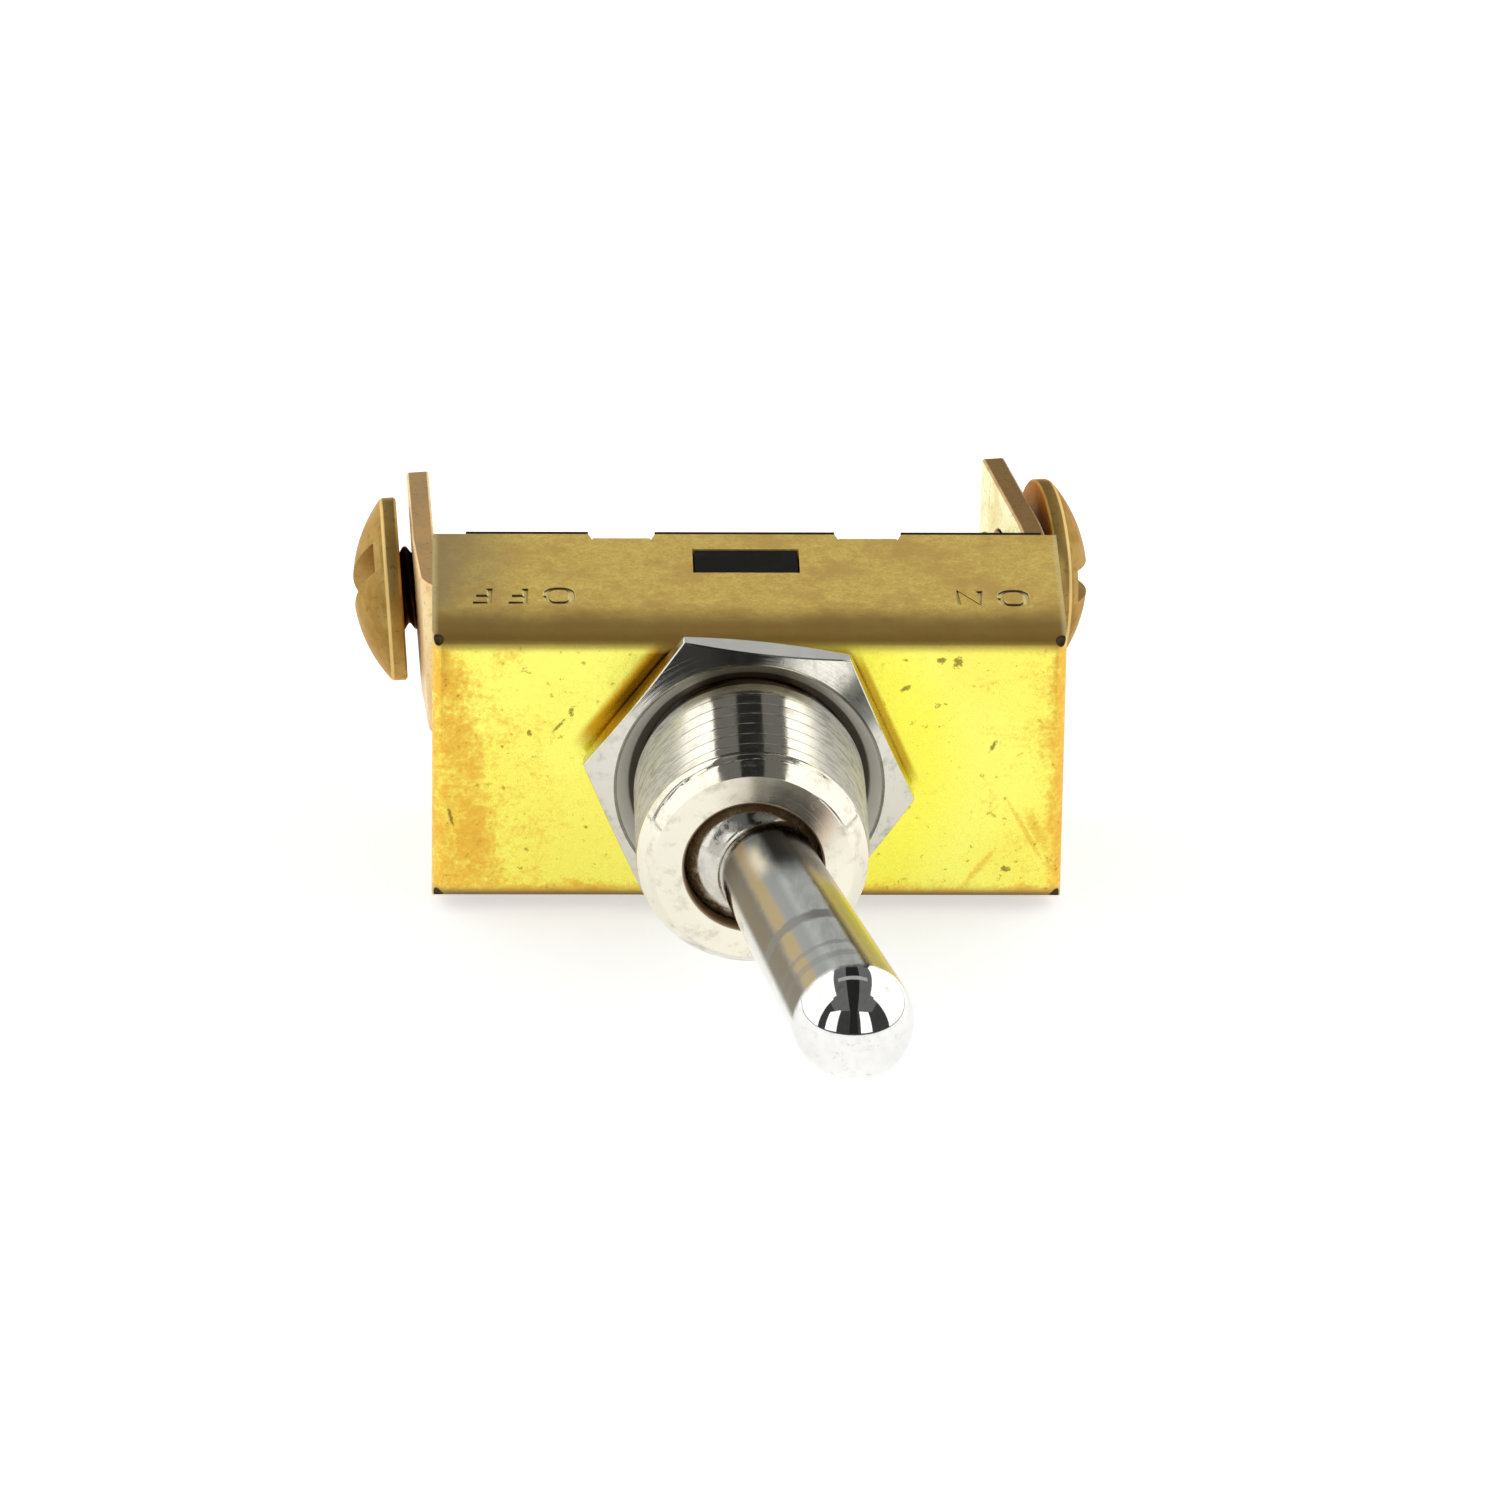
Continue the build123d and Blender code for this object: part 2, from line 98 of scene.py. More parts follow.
# Details that the part leaves to the scene, in millimetres. The grooves' widths are shares of the pitch,
# the lands slope by an angle, and the neck is a hair thinner than the part's.
PITCH = 1.27
THREAD_DEPTH = 0.08 * PITCH
THREAD_GROOVE = 0.22
LAND_SLOPE = math.radians(6.0)
NECK_RADIUS = 5.93
NECK_ABOVE_NUT = 0.1
RIM_BAND = 0.12
MOUTH_EDGE = 0.12
SCREW_PITCH = 0.79
SCREW_THREAD_DEPTH = 0.5 * SCREW_PITCH
SCREW_THREAD_GROOVE = 0.9
SCREW_TIP_FLAT = 0.5
SCREW_TIP_CHAMFER = 0.45
SCREW_EDGE = 0.12
SLOT_EDGE = 0.06
NUT_EDGE = 0.07
STRIP_EDGE = 0.13

# Fineness of the made meshes, and the angles over which edges are kept sharp or eased
BUSHING_SEGMENTS = 144
BUSHING_ROWS = 240
SEAT_ROWS = 8
NUT_STEPS_PER_SIDE = 20
SCREW_SEGMENTS = 96
SCREW_THREAD_ROWS = 50
SCREW_DOME_ROWS = 16
DOME_START = 0.985
ROW_GAP = 0.02
EDGE_STEPS = 2
SHARP = math.radians(35)
NUT_SHARP = math.radians(20)
STRIP_SHARP = math.radians(30)
SLOT_BEVEL_OVER = math.radians(40)
NUT_BEVEL_OVER = math.radians(24)
STRIP_BEVEL_OVER = math.radians(50)
FLAT_ANGLE = 0.002

# Distances under which points are one: in millimetres, and in metres for a node and after a cut
WELD = 1e-5
NODE_WELD = 1e-7
SLIVER = 2e-7

# Gap under each screw's head in millimetres, and its slot's turn from the part's Z towards its Y
SCREWS = {"left": (0.73, math.radians(50)), "right": (0.83, math.radians(11))}

# Studio in metres, in the part's own axes: the table is below in Y and the camera in front in +Z
FLOOR_REACH = 1.5
FLOOR_GAP = 0.0002
FLOOR_COLOUR = (0.80, 0.80, 0.80, 1)
FLOOR_LIFT = 0.58
WORLD_FILL = 0.38
WORLD_SEEN = 1.0
ROOM_SIDE = 1.2
ROOM_TOP = 1.3
ROOM_BACK = -2.4
ROOM_FRONT = 1.3
SOFTBOX_SIDE = 0.6
SOFTBOX_MIDDLE = 0.43
SOFTBOX_BACK = -0.95
SOFTBOX_LENGTH = 2.4
SOFTBOX_HEIGHT = 0.84
SOFTBOX_POWER = 8.2

# Camera, as fitted to the photograph
VIEW_ELEVATION = math.radians(25.453)
VIEW_YAW = math.radians(1.547)
VIEW_ROLL = math.radians(0.094)
CAMERA_PLACE = Vector((-16.81, 269.85, 564.39)) * MM
FOCAL_LENGTH = 273.9
SENSOR = 36.0
NEAR_CLIP = 0.01


def make_object(name, mesh):
    """Adds a mesh, curve, light or camera to the scene."""
    obj = bpy.data.objects.new(name, mesh)
    bpy.context.scene.collection.objects.link(obj)
    return obj


def set_edges(bm, sharp_angle):
    """Makes all faces smooth, with sharp edges where two meet at more than the angle."""
    for face in bm.faces:
        face.smooth = True
    for edge in bm.edges:
        edge.smooth = len(edge.link_faces) == 2 and edge.calc_face_angle() < sharp_angle


def finish_mesh(bm, name, sharp_angle):
    """Turns a bmesh in millimetres into an object in metres."""
    bmesh.ops.remove_doubles(bm, verts=bm.verts, dist=WELD)
    bmesh.ops.recalc_face_normals(bm, faces=bm.faces)
    bmesh.ops.scale(bm, vec=(MM, MM, MM), verts=bm.verts)
    set_edges(bm, sharp_angle)
    mesh = bpy.data.meshes.new(name)
    bm.to_mesh(mesh)
    bm.free()
    return make_object(name, mesh)


def ring_surface(bm, rings, closed_loop=False):
    """Joins rings of points with quads. A ring of one point is a pole."""
    made = [[bm.verts.new(p) for p in ring] for ring in rings]
    pairs = list(zip(made, made[1:]))
    if closed_loop:
        pairs.append((made[-1], made[0]))
    for a, b in pairs:
        count = max(len(a), len(b))
        for i in range(count):
            j = (i + 1) % count
            corners = [a[i % len(a)], a[j % len(a)], b[j % len(b)], b[i % len(b)]]
            unique = list(dict.fromkeys(corners))
            if len(unique) > 2:
                bm.faces.new(unique)


def circle(radius, height, segments):
    """Points of a level ring, or one point on the axis."""
    if radius < 1e-6:
        return [Vector((0, 0, height))]
    steps = [2 * math.pi * i / segments for i in range(segments)]
    return [Vector((radius * math.cos(a), radius * math.sin(a), height)) for a in steps]


def smooth(low, high, value):
    """0 at low, 1 at high, eased between."""
    share = min(1.0, max(0.0, (value - low) / (high - low)))
    return share * share * (3 - 2 * share)


def spaced(low, high, count):
    """Evenly spaced numbers with both ends."""
    return [low + (high - low) * i / (count - 1) for i in range(count)]


def thread_phase(pitch, height, angle):
    """Where a place lies in its turn of a right-hand thread, from 0 to 1 with the groove at one half."""
    return (height / pitch - angle / (2 * math.pi)) % 1.0


def thread_cut(pitch, depth, groove, height, angle):
    """Depth of a thread's groove, which takes the given share of the pitch."""
    from_groove = abs(thread_phase(pitch, height, angle) - 0.5) * 2
    return depth * smooth(groove, 0.0, from_groove)


def shaped_ring(height, segments, radius_at):
    """Points of a level ring whose radius depends on the height and the angle."""
    ring = []
    for point in circle(1.0, height, segments):
        radius = radius_at(height, math.atan2(point.y, point.x))
        ring.append(Vector((radius * point.x, radius * point.y, height)))
    return ring


def bushing_radius(height, angle):
    """The bushing's outside: thread with sloping lands, bevelled end, plain neck under the nut."""
    bevelled = max(0.0, height - (BUSHING_HEIGHT - BEVEL_HEIGHT)) / BEVEL_HEIGHT
    limit = THREAD_RADIUS + (RIM_RADIUS - THREAD_RADIUS) * bevelled
    above_groove = (thread_phase(PITCH, height, angle) + 0.5) % 1.0
    land = THREAD_RADIUS - PITCH * math.tan(LAND_SLOPE) * above_groove
    radius = min(land, limit) - thread_cut(PITCH, THREAD_DEPTH, THREAD_GROOVE, height, angle)
    if height < NUT_HIGH + NECK_ABOVE_NUT:
        radius = min(radius, NECK_RADIUS)
    return radius


def make_bushing():
    """Turned bushing with a cut thread, bevelled rim, round mouth and ball seat."""
    inside = [
        (RIM_RADIUS - RIM_BAND, BUSHING_HEIGHT),
        (MOUTH_RADIUS + MOUTH_EDGE, BUSHING_HEIGHT),
        (MOUTH_RADIUS, BUSHING_HEIGHT - MOUTH_EDGE),
    ]
    seat_top = (SEAT_RADIUS**2 - MOUTH_RADIUS**2) ** 0.5
    for height in spaced(seat_top, 0.0, SEAT_ROWS):
        inside.append(((SEAT_RADIUS**2 - height**2) ** 0.5, PIVOT_HEIGHT + height))
    inside.append((BORE_RADIUS, PIVOT_HEIGHT))
    inside.append((BORE_RADIUS, FLARE_TOP))
    flange = [
        (BORE_RADIUS + BORE_FLARE, FLANGE_BACK),
        (FLANGE_RADIUS, FLANGE_BACK),
        (FLANGE_RADIUS, -SHEET),
        (NECK_RADIUS, -SHEET),
    ]
    rings = [circle(radius, height, BUSHING_SEGMENTS) for radius, height in flange]
    for height in spaced(ROW_GAP - SHEET, BUSHING_HEIGHT, BUSHING_ROWS):
        rings.append(shaped_ring(height, BUSHING_SEGMENTS, bushing_radius))
    rings += [circle(radius, height, BUSHING_SEGMENTS) for radius, height in inside]
    bm = bmesh.new()
    ring_surface(bm, rings, closed_loop=True)
    return finish_mesh(bm, "bushing_threaded", SHARP)


def make_nut():
    """Hex nut: both faces coned towards the corners, countersunk front, plain bore."""
    sector = math.pi / 3
    steps = NUT_STEPS_PER_SIDE
    face_radius = NUT_RECESS_RADIUS + NUT_FACE_RING
    sink = NUT_RECESS_RADIUS - NUT_BORE_RADIUS
    inside = [(NUT_RECESS_RADIUS, NUT_HIGH), (NUT_BORE_RADIUS, NUT_HIGH - sink), (NUT_BORE_RADIUS, NUT_LOW)]
    columns = []
    for angle in [sector * (side + i / steps) for side in range(6) for i in range(steps)]:
        radius = NUT_ACROSS_FLATS / 2 / math.cos(angle % sector - sector / 2)
        drop = max(0.0, radius - face_radius) * math.tan(NUT_CHAMFER_ANGLE)
        flat = min(radius, face_radius)
        low = [(flat, NUT_LOW), (radius, NUT_LOW + drop)]
        high = [(radius, NUT_HIGH - drop), (flat, NUT_HIGH)]
        outward = Vector((math.cos(angle + NUT_TURN), math.sin(angle + NUT_TURN), 0))
        columns.append([outward * reach + Vector((0, 0, height)) for reach, height in low + high + inside])
    bm = bmesh.new()
    ring_surface(bm, list(zip(*columns)), closed_loop=True)
    nut = finish_mesh(bm, "nut_hex", NUT_SHARP)
    add_bevel(nut, NUT_EDGE, NUT_BEVEL_OVER)
    return nut


def add_bevel(obj, width, over_angle):
    """Eases the edges that are sharper than the angle."""
    bevel = obj.modifiers.new("edges", "BEVEL")
    bevel.width = width * MM
    bevel.segments = EDGE_STEPS
    bevel.limit_method = "ANGLE"
    bevel.angle_limit = over_angle


def cut_out(obj, cutter, edge=None, crossing=False):
    """Cuts one object out of another, eases its edges if a width is given, and clears the cut's slivers."""
    cut = obj.modifiers.new("cut", "BOOLEAN")
    cut.operation = "DIFFERENCE"
    cut.object = cutter
    cut.solver = "EXACT"
    cut.use_self = crossing
    if edge:
        add_bevel(obj, edge, SLOT_BEVEL_OVER)
    bpy.context.view_layer.update()
    graph = bpy.context.evaluated_depsgraph_get()
    graph.update()
    mesh = bpy.data.meshes.new_from_object(obj.evaluated_get(graph))
    obj.modifiers.clear()
    obj.data = mesh
    bpy.data.objects.remove(cutter)
    bm = bmesh.new()
    bm.from_mesh(mesh)
    bmesh.ops.dissolve_degenerate(bm, dist=SLIVER, edges=bm.edges)
    set_edges(bm, SHARP)
    bm.to_mesh(mesh)
    bm.free()


def copy_of_node(node, name, sharp_angle):
    """A welded copy of a CAD node's mesh, with flat faces joined, to be worked on."""
    bm = bmesh.new()
    bm.from_mesh(frame["nodes"][node].data)
    bmesh.ops.remove_doubles(bm, verts=bm.verts, dist=NODE_WELD)
    bmesh.ops.dissolve_limit(bm, angle_limit=FLAT_ANGLE, verts=bm.verts, edges=bm.edges)
    bmesh.ops.scale(bm, vec=(1 / MM, 1 / MM, 1 / MM), verts=bm.verts)
    return finish_mesh(bm, name, sharp_angle)


def screw_place(joint):
    """Matrix of a terminal screw's axis from its joint: Z outwards, origin in the middle of the strip."""
    found = [j for j in frame["record"]["behaviour"]["joints"] if j["name"] == joint][0]
    axis = Vector(found["axis"]).normalized()
    side = Vector((0, 1, 0)).cross(axis).normalized()
    across = axis.cross(side)
    place = Matrix((side, across, axis)).transposed().to_4x4()
    place.translation = Vector(found["pos_m"])
    return place


def slot_line(slot_turn):
    """Direction of a screw's slot in the part's frame."""
    return Vector((0, math.sin(slot_turn), math.cos(slot_turn)))


def make_screw(name, joint, gap, slot_turn):
    """Slotted binding-head screw with a cut thread."""
    under = STRIP_THICKNESS / 2 + gap
    tip = under - SCREW_LENGTH
    rim = under + SCREW_RIM

    def shank_radius(height, angle):
        cut = thread_cut(SCREW_PITCH, SCREW_THREAD_DEPTH, SCREW_THREAD_GROOVE, height, angle)
        return min(SCREW_RADIUS - cut, SCREW_RADIUS - SCREW_TIP_CHAMFER + (height - tip))

    rings = [circle(0, tip, SCREW_SEGMENTS), circle(SCREW_RADIUS - SCREW_TIP_FLAT, tip, SCREW_SEGMENTS)]
    for height in spaced(tip + ROW_GAP, under - ROW_GAP, SCREW_THREAD_ROWS):
        rings.append(shaped_ring(height, SCREW_SEGMENTS, shank_radius))
    head = [
        (SCREW_RADIUS, under),
        (SCREW_HEAD_RADIUS - SCREW_EDGE, under),
        (SCREW_HEAD_RADIUS, under + SCREW_EDGE),
        (SCREW_HEAD_RADIUS, rim - SCREW_EDGE),
    ]
    dome_radius = (SCREW_HEAD_RADIUS**2 + SCREW_DOME**2) / (2 * SCREW_DOME)
    dome_centre = rim + SCREW_DOME - dome_radius
    lean = math.asin(SCREW_HEAD_RADIUS / dome_radius)
    for angle in spaced(lean * DOME_START, 0.0, SCREW_DOME_ROWS):
        head.append((dome_radius * math.sin(angle), dome_centre + dome_radius * math.cos(angle)))
    rings += [circle(radius, height, SCREW_SEGMENTS) for radius, height in head]
    bm = bmesh.new()
    ring_surface(bm, rings)
    screw = finish_mesh(bm, name, SHARP)
    screw.matrix_world = screw_place(joint)
    cut_slot(screw, rim + SCREW_DOME, slot_turn)
    screw.data.transform(screw.matrix_world)
    screw.matrix_world = Matrix()
    return screw


def cut_slot(screw, top, slot_turn):
    """Cuts the driver slot."""
    local = screw.matrix_world.to_3x3().inverted() @ slot_line(slot_turn)
    turn = math.atan2(local.y, local.x)
    bm = bmesh.new()
    bmesh.ops.create_cube(bm, size=1.0)
    size = Matrix.Diagonal((SCREW_HEAD_RADIUS * 4, SCREW_SLOT_WIDTH, SCREW_SLOT_DEPTH * 2, 1))
    place = Matrix.Rotation(turn, 4, "Z") @ Matrix.Translation((0, 0, top)) @ size
    bmesh.ops.transform(bm, matrix=place, verts=bm.verts)
    cutter = finish_mesh(bm, screw.name + "_cutter", SHARP)
    cutter.matrix_world = screw.matrix_world
    cut_out(screw, cutter, edge=SLOT_EDGE)


# Stamped words, as strokes in a box one unit wide and one high
def oval(steps=24):
    """A squarish O."""
    points = []
    for i in range(steps + 1):
        a = 2 * math.pi * i / steps
        across = math.copysign(abs(math.cos(a)) ** 0.7, math.cos(a))
        along = math.copysign(abs(math.sin(a)) ** 0.7, math.sin(a))
        points.append((0.5 + 0.5 * across, 0.5 + 0.5 * along))
    return points


LETTERS = {
    "O": [oval()],
    "N": [[(0, 0), (0, 1), (1, 0), (1, 1)]],
    "F": [[(0, 0), (0, 1), (1, 1)], [(0, 0.52), (0.8, 0.52)]],
}
LETTER_WIDTH = {"O": 1.42, "N": 1.2, "F": 0.92}
LETTER_HEIGHT = 1.85
LETTER_STROKE = 0.21
LETTER_LIFT = 0.06
OFF_LINE = -6.4
ON_LINE = -6.2
STAMPS = (("O", -10.38, OFF_LINE), ("F", -12.70, OFF_LINE), ("F", -14.66, OFF_LINE), ("O", 14.6, ON_LINE),
          ("N", 12.15, ON_LINE))


def make_letters():
    """Tubes along the letters' strokes on the lettered side, to be cut out of the case."""
    curve = bpy.data.curves.new("strokes", "CURVE")
    curve.dimensions = "3D"
    curve.bevel_depth = LETTER_STROKE * MM
    curve.bevel_resolution = 3
    curve.use_fill_caps = True
    for letter, middle, line in STAMPS:
        width = LETTER_WIDTH[letter]
        for stroke in LETTERS[letter]:
            closed = stroke[0] == stroke[-1]
            points = stroke[:-1] if closed else stroke
            spline = curve.splines.new("POLY")
            spline.points.add(len(points) - 1)
            spline.use_cyclic_u = closed
            for point, (u, v) in zip(spline.points, points):
                x = middle + (0.5 - u) * width
                z = line + v * LETTER_HEIGHT
                point.co = (x * MM, (CASE_HALF_Y + LETTER_LIFT) * MM, z * MM, 1)
    tubes = make_object("cutter", curve)
    graph = bpy.context.evaluated_depsgraph_get()
    mesh = bpy.data.meshes.new_from_object(tubes.evaluated_get(graph))
    bpy.data.objects.remove(tubes)
    return make_object("cutter", mesh)


def make_case():
    """The folded case with its two words stamped in."""
    case = copy_of_node("case", "case_stamped", SHARP)
    cut_out(case, make_letters(), crossing=True)
    return case


def make_terminal(node, name):
    """A strip terminal with its edges eased."""
    strip = copy_of_node(node, name, STRIP_SHARP)
    add_bevel(strip, STRIP_EDGE, STRIP_BEVEL_OVER)
    return strip


class Shader:
    """A principled material and short ways to add nodes to it. Lengths in it are millimetres."""

    def __init__(self, name, metallic, roughness):
        self.material = bpy.data.materials.new(name)
        self.material.use_nodes = True
        self.tree = self.material.node_tree
        self.bsdf = self.tree.nodes["Principled BSDF"]
        self.bsdf.inputs["Metallic"].default_value = metallic
        self.bsdf.inputs["Roughness"].default_value = roughness
        coordinates = self.tree.nodes.new("ShaderNodeTexCoord").outputs
        self.place = self.vector("SCALE", coordinates["Object"], scale=1 / MM)
        self.normal = coordinates["Normal"]

    def tilted(self, amount):
        """The surface's normal leaned towards +Z by the given amount."""
        lean = self.tree.nodes.new("ShaderNodeCombineXYZ")
        self.put(lean.inputs[2], amount)
        facing = self.tree.nodes.new("ShaderNodeNewGeometry").outputs["Normal"]
        return self.vector("NORMALIZE", self.vector("ADD", facing, lean.outputs[0]))

    def put(self, socket, value):
        """Links a socket to another, or gives it a value."""
        if isinstance(value, bpy.types.NodeSocket):
            self.tree.links.new(value, socket)
        else:
            socket.default_value = value

    def vector(self, operation, a, b=None, scale=None):
        node = self.tree.nodes.new("ShaderNodeVectorMath")
        node.operation = operation
        self.put(node.inputs[0], a)
        if b is not None:
            self.put(node.inputs[1], b)
        if scale is not None:
            self.put(node.inputs["Scale"], scale)
        return node.outputs["Value" if operation in ("DOT_PRODUCT", "LENGTH", "DISTANCE") else "Vector"]

    def math(self, operation, a, b=0.0, c=0.0):
        node = self.tree.nodes.new("ShaderNodeMath")
        node.operation = operation
        for socket, value in zip(node.inputs, (a, b, c)):
            self.put(socket, value)
        return node.outputs[0]

    def chain(self, operation, values):
        """All the values joined by one operation."""
        result = values[0]
        for value in values[1:]:
            result = self.math(operation, result, value)
        return result

    def times(self, *values):
        return self.chain("MULTIPLY", values)

    def plus(self, *values):
        return self.chain("ADD", values)

    def most(self, *values):
        return self.chain("MAXIMUM", values)

    def minus(self, a, b):
        return self.math("SUBTRACT", a, b)

    def absolute(self, value):
        return self.math("ABSOLUTE", value)

    def step(self, value, low, high):
        """0 below low, 1 above high, smooth between; low above high turns it round."""
        node = self.tree.nodes.new("ShaderNodeMapRange")
        node.interpolation_type = "SMOOTHSTEP"
        self.put(node.inputs["Value"], value)
        flip = low > high
        node.inputs["From Min"].default_value = high if flip else low
        node.inputs["From Max"].default_value = low if flip else high
        node.inputs["To Min"].default_value = 1.0 if flip else 0.0
        node.inputs["To Max"].default_value = 0.0 if flip else 1.0
        return node.outputs[0]

    def axes(self, value=None):
        """X, Y and Z of a vector, or of the place."""
        node = self.tree.nodes.new("ShaderNodeSeparateXYZ")
        self.put(node.inputs[0], value or self.place)
        return node.outputs

    def band(self, value, low, high, soft):
        """1 between low and high, falling off over the soft width inside them."""
        return self.times(self.step(value, low, low + soft), self.step(value, high, high - soft))

    def stretch(self, x, y, z):
        """The place with each axis scaled."""
        return self.vector("MULTIPLY", self.place, (x, y, z))

    def noise(self, scale, detail, rough, place=None):
        node = self.tree.nodes.new("ShaderNodeTexNoise")
        self.put(node.inputs["Vector"], place or self.place)
        node.inputs["Scale"].default_value = scale
        node.inputs["Detail"].default_value = detail
        node.inputs["Roughness"].default_value = rough
        return node.outputs[0]

    def mix(self, share, a, b):
        """A colour between a and b."""
        node = self.tree.nodes.new("ShaderNodeMix")
        node.data_type = "RGBA"
        self.put(node.inputs[0], share)
        for socket, value in ((node.inputs[6], a), (node.inputs[7], b)):
            self.put(socket, (*value, 1.0) if isinstance(value, tuple) else value)
        return node.outputs[2]

    def over(self, base, colour, *shares):
        """A colour laid over a base by the product of the shares."""
        return self.mix(self.times(*shares), base, colour)

    def blend(self, share, a, b):
        """A number between a and b."""
        node = self.tree.nodes.new("ShaderNodeMix")
        self.put(node.inputs[0], share)
        self.put(node.inputs[2], a)
        self.put(node.inputs[3], b)
        return node.outputs[0]

    def colour(self, value):
        self.put(self.bsdf.inputs["Base Color"], value)

    def rough(self, value):
        self.put(self.bsdf.inputs["Roughness"], value)

    def metal(self, value):
        self.put(self.bsdf.inputs["Metallic"], value)

    def bump(self, height, distance, strength, normal=None):
        node = self.tree.nodes.new("ShaderNodeBump")
        node.inputs["Strength"].default_value = strength
        node.inputs["Distance"].default_value = distance * MM
        self.put(node.inputs["Height"], height)
        if normal is not None:
            self.put(node.inputs["Normal"], normal)
        self.put(self.bsdf.inputs["Normal"], node.outputs[0])


# Colours of the metals, as linear red, green and blue
LEMON = (0.95, 0.87, 0.14)
LEMON_PALE = (0.97, 0.94, 0.17)
LEMON_DEEP = (0.97, 0.92, 0.08)
TARNISH = (0.88, 0.53, 0.07)
TARNISH_DARK = (0.58, 0.30, 0.04)
SCRATCH = (0.74, 0.38, 0.03)
SPECK = (0.36, 0.20, 0.02)
SPOT = (0.20, 0.12, 0.015)
# Painted shadow of the nut on the case's front: orange, and darkest brown by the left flat
NUT_SHADOW_LEFT = (0.62, 0.33, 0.01)
NUT_SHADOW_RIGHT = (0.60, 0.40, 0.03)
NUT_SHADOW_DEEP = (0.10, 0.035, 0.002)
SIDE_DULL = (0.84, 0.53, 0.115)
SIDE_BRIGHT = (1.0, 0.80, 0.20)
SIDE_BLOTCH = (0.74, 0.46, 0.115)
SIDE_GREY = (0.40, 0.29, 0.13)
SIDE_BEND = (0.29, 0.165, 0.022)
# Worn metal with a painted highlight at the case's end edges
SIDE_WORN_HIGHLIGHT = (1.0, 0.82, 0.40)
# Painted highlight and painted shade in the stamped words and the corner reliefs
STAMP_HIGHLIGHT = (1.0, 0.90, 0.38)
STAMP_SHADE = (0.22, 0.13, 0.03)
HOLLOW_SHADE = (0.05, 0.03, 0.01)
NICKEL = (0.83, 0.79, 0.66)
NICKEL_STAINED = (0.64, 0.60, 0.49)
NICKEL_MATT = (0.65, 0.63, 0.56)
NICKEL_STREAK = (0.37, 0.37, 0.33)
NICKEL_SOILED = (0.16, 0.14, 0.11)
NICKEL_SHADED = (0.36, 0.33, 0.27)
MOUTH_BROWN = (0.30, 0.17, 0.06)
NUT_PLATE = (0.66, 0.64, 0.56)
NUT_STAINED = (0.46, 0.45, 0.39)
# Painted dark reflection on the nut's face
NUT_DARK_REFLECTION = (0.16, 0.16, 0.14)
# Painted light on the nut's upper flat
NUT_UPPER_FLAT_LIT = (0.86, 0.86, 0.80)
# Countersink: painted shade, painted light at its sides, painted shadow in the gap by the bushing
NUT_SINK_SHADED = (0.46, 0.43, 0.36)
NUT_SINK_LIT = (0.94, 0.91, 0.82)
NUT_GAP_SHADOW = (0.09, 0.055, 0.025)
CHROME = (0.84, 0.84, 0.82)
CHROME_SCUFFED = (0.74, 0.73, 0.70)
CHROME_SPOT = (0.45, 0.40, 0.33)
# Darker tint of the lever's ball
BALL_DARKER = (0.52, 0.48, 0.39)
# Painted reflection of the brass case on the lever
AMBER_REFLECTION = (0.44, 0.33, 0.18)
AMBER_REFLECTION_GREY = (0.34, 0.27, 0.21)
ROSE_REFLECTION = (0.66, 0.46, 0.36)
HAZE = (0.63, 0.65, 0.61)
HAZE_SCUFFED = (0.52, 0.53, 0.50)
# Painted shade towards the lever's left side
HAZE_SHADE = (0.33, 0.34, 0.32)
HAZE_TAN = (0.50, 0.38, 0.19)
# Painted shade at the lever's left edge
HAZE_EDGE_SHADE = (0.19, 0.155, 0.10)
HAZE_RING = (0.22, 0.21, 0.19)
GLINT = (1.0, 0.90, 0.66)
# Painted shadow on the lever's neck
NECK_SHADOW = (0.022, 0.018, 0.011)
# Painted highlight at the screw heads' rims
SCREW_RIM_HIGHLIGHT = (0.85, 0.62, 0.24)
# Painted light in the screw slots
SCREW_SLOT_LIGHT = (0.58, 0.41, 0.16)
# Painted shade under the screw heads
UNDER_HEAD_SHADE = (0.05, 0.016, 0.004)
UNDER_HEAD_WARM_SHADE = (0.42, 0.15, 0.025)

# Colours of tarnished brass: bright, warm and dark
STRIP_LEFT_FACE = ((0.95, 0.74, 0.36), (0.88, 0.60, 0.26), (0.42, 0.25, 0.10))
STRIP_RIGHT_FACE = ((1.0, 0.97, 0.52), (0.95, 0.80, 0.34), (0.45, 0.28, 0.10))
STRIP_LEFT_EDGE = ((1.0, 0.68, 0.31), (0.92, 0.58, 0.24), (0.46, 0.27, 0.12))
STRIP_RIGHT_EDGE = ((0.60, 0.36, 0.13), (0.48, 0.28, 0.10), (0.27, 0.15, 0.06))
SCREW_BROWN = ((0.46, 0.31, 0.10), (0.36, 0.22, 0.055), (0.17, 0.09, 0.025))

# Marks on the case's front as the photograph has them: middle x and y, half length, half width, turn
# of the long axis from +X in degrees
SPOTS = (
    (10.48, 6.64, 0.19, 0.15, 0),
    (11.37, 6.52, 0.27, 0.20, 60),
    (8.55, 4.96, 0.24, 0.12, 30),
    (13.42, 1.50, 0.30, 0.09, 63),
    (14.21, -6.00, 0.20, 0.14, 0),
    (-9.73, 3.51, 0.22, 0.11, 90),
    (-10.37, 2.71, 0.40, 0.07, 50),
    (-12.02, 2.23, 0.15, 0.11, 90),
    (-16.33, -2.82, 0.45, 0.08, -75),
)
SCRATCHES = (
    (15.30, -3.75, 1.70, 0.11, -62),
    (15.95, -3.70, 1.00, 0.26, -66),
    (12.75, -5.95, 1.15, 0.14, 53),
    (16.40, 2.58, 0.45, 0.08, -10),
    (-9.10, -7.05, 0.85, 0.17, -18),
)

# Dark rings around the lever: height above its pivot, half width, strength
LEVER_RINGS = ((15.0, 0.45, 0.85), (18.6, 0.2, 0.45), (20.0, 0.3, 0.4))


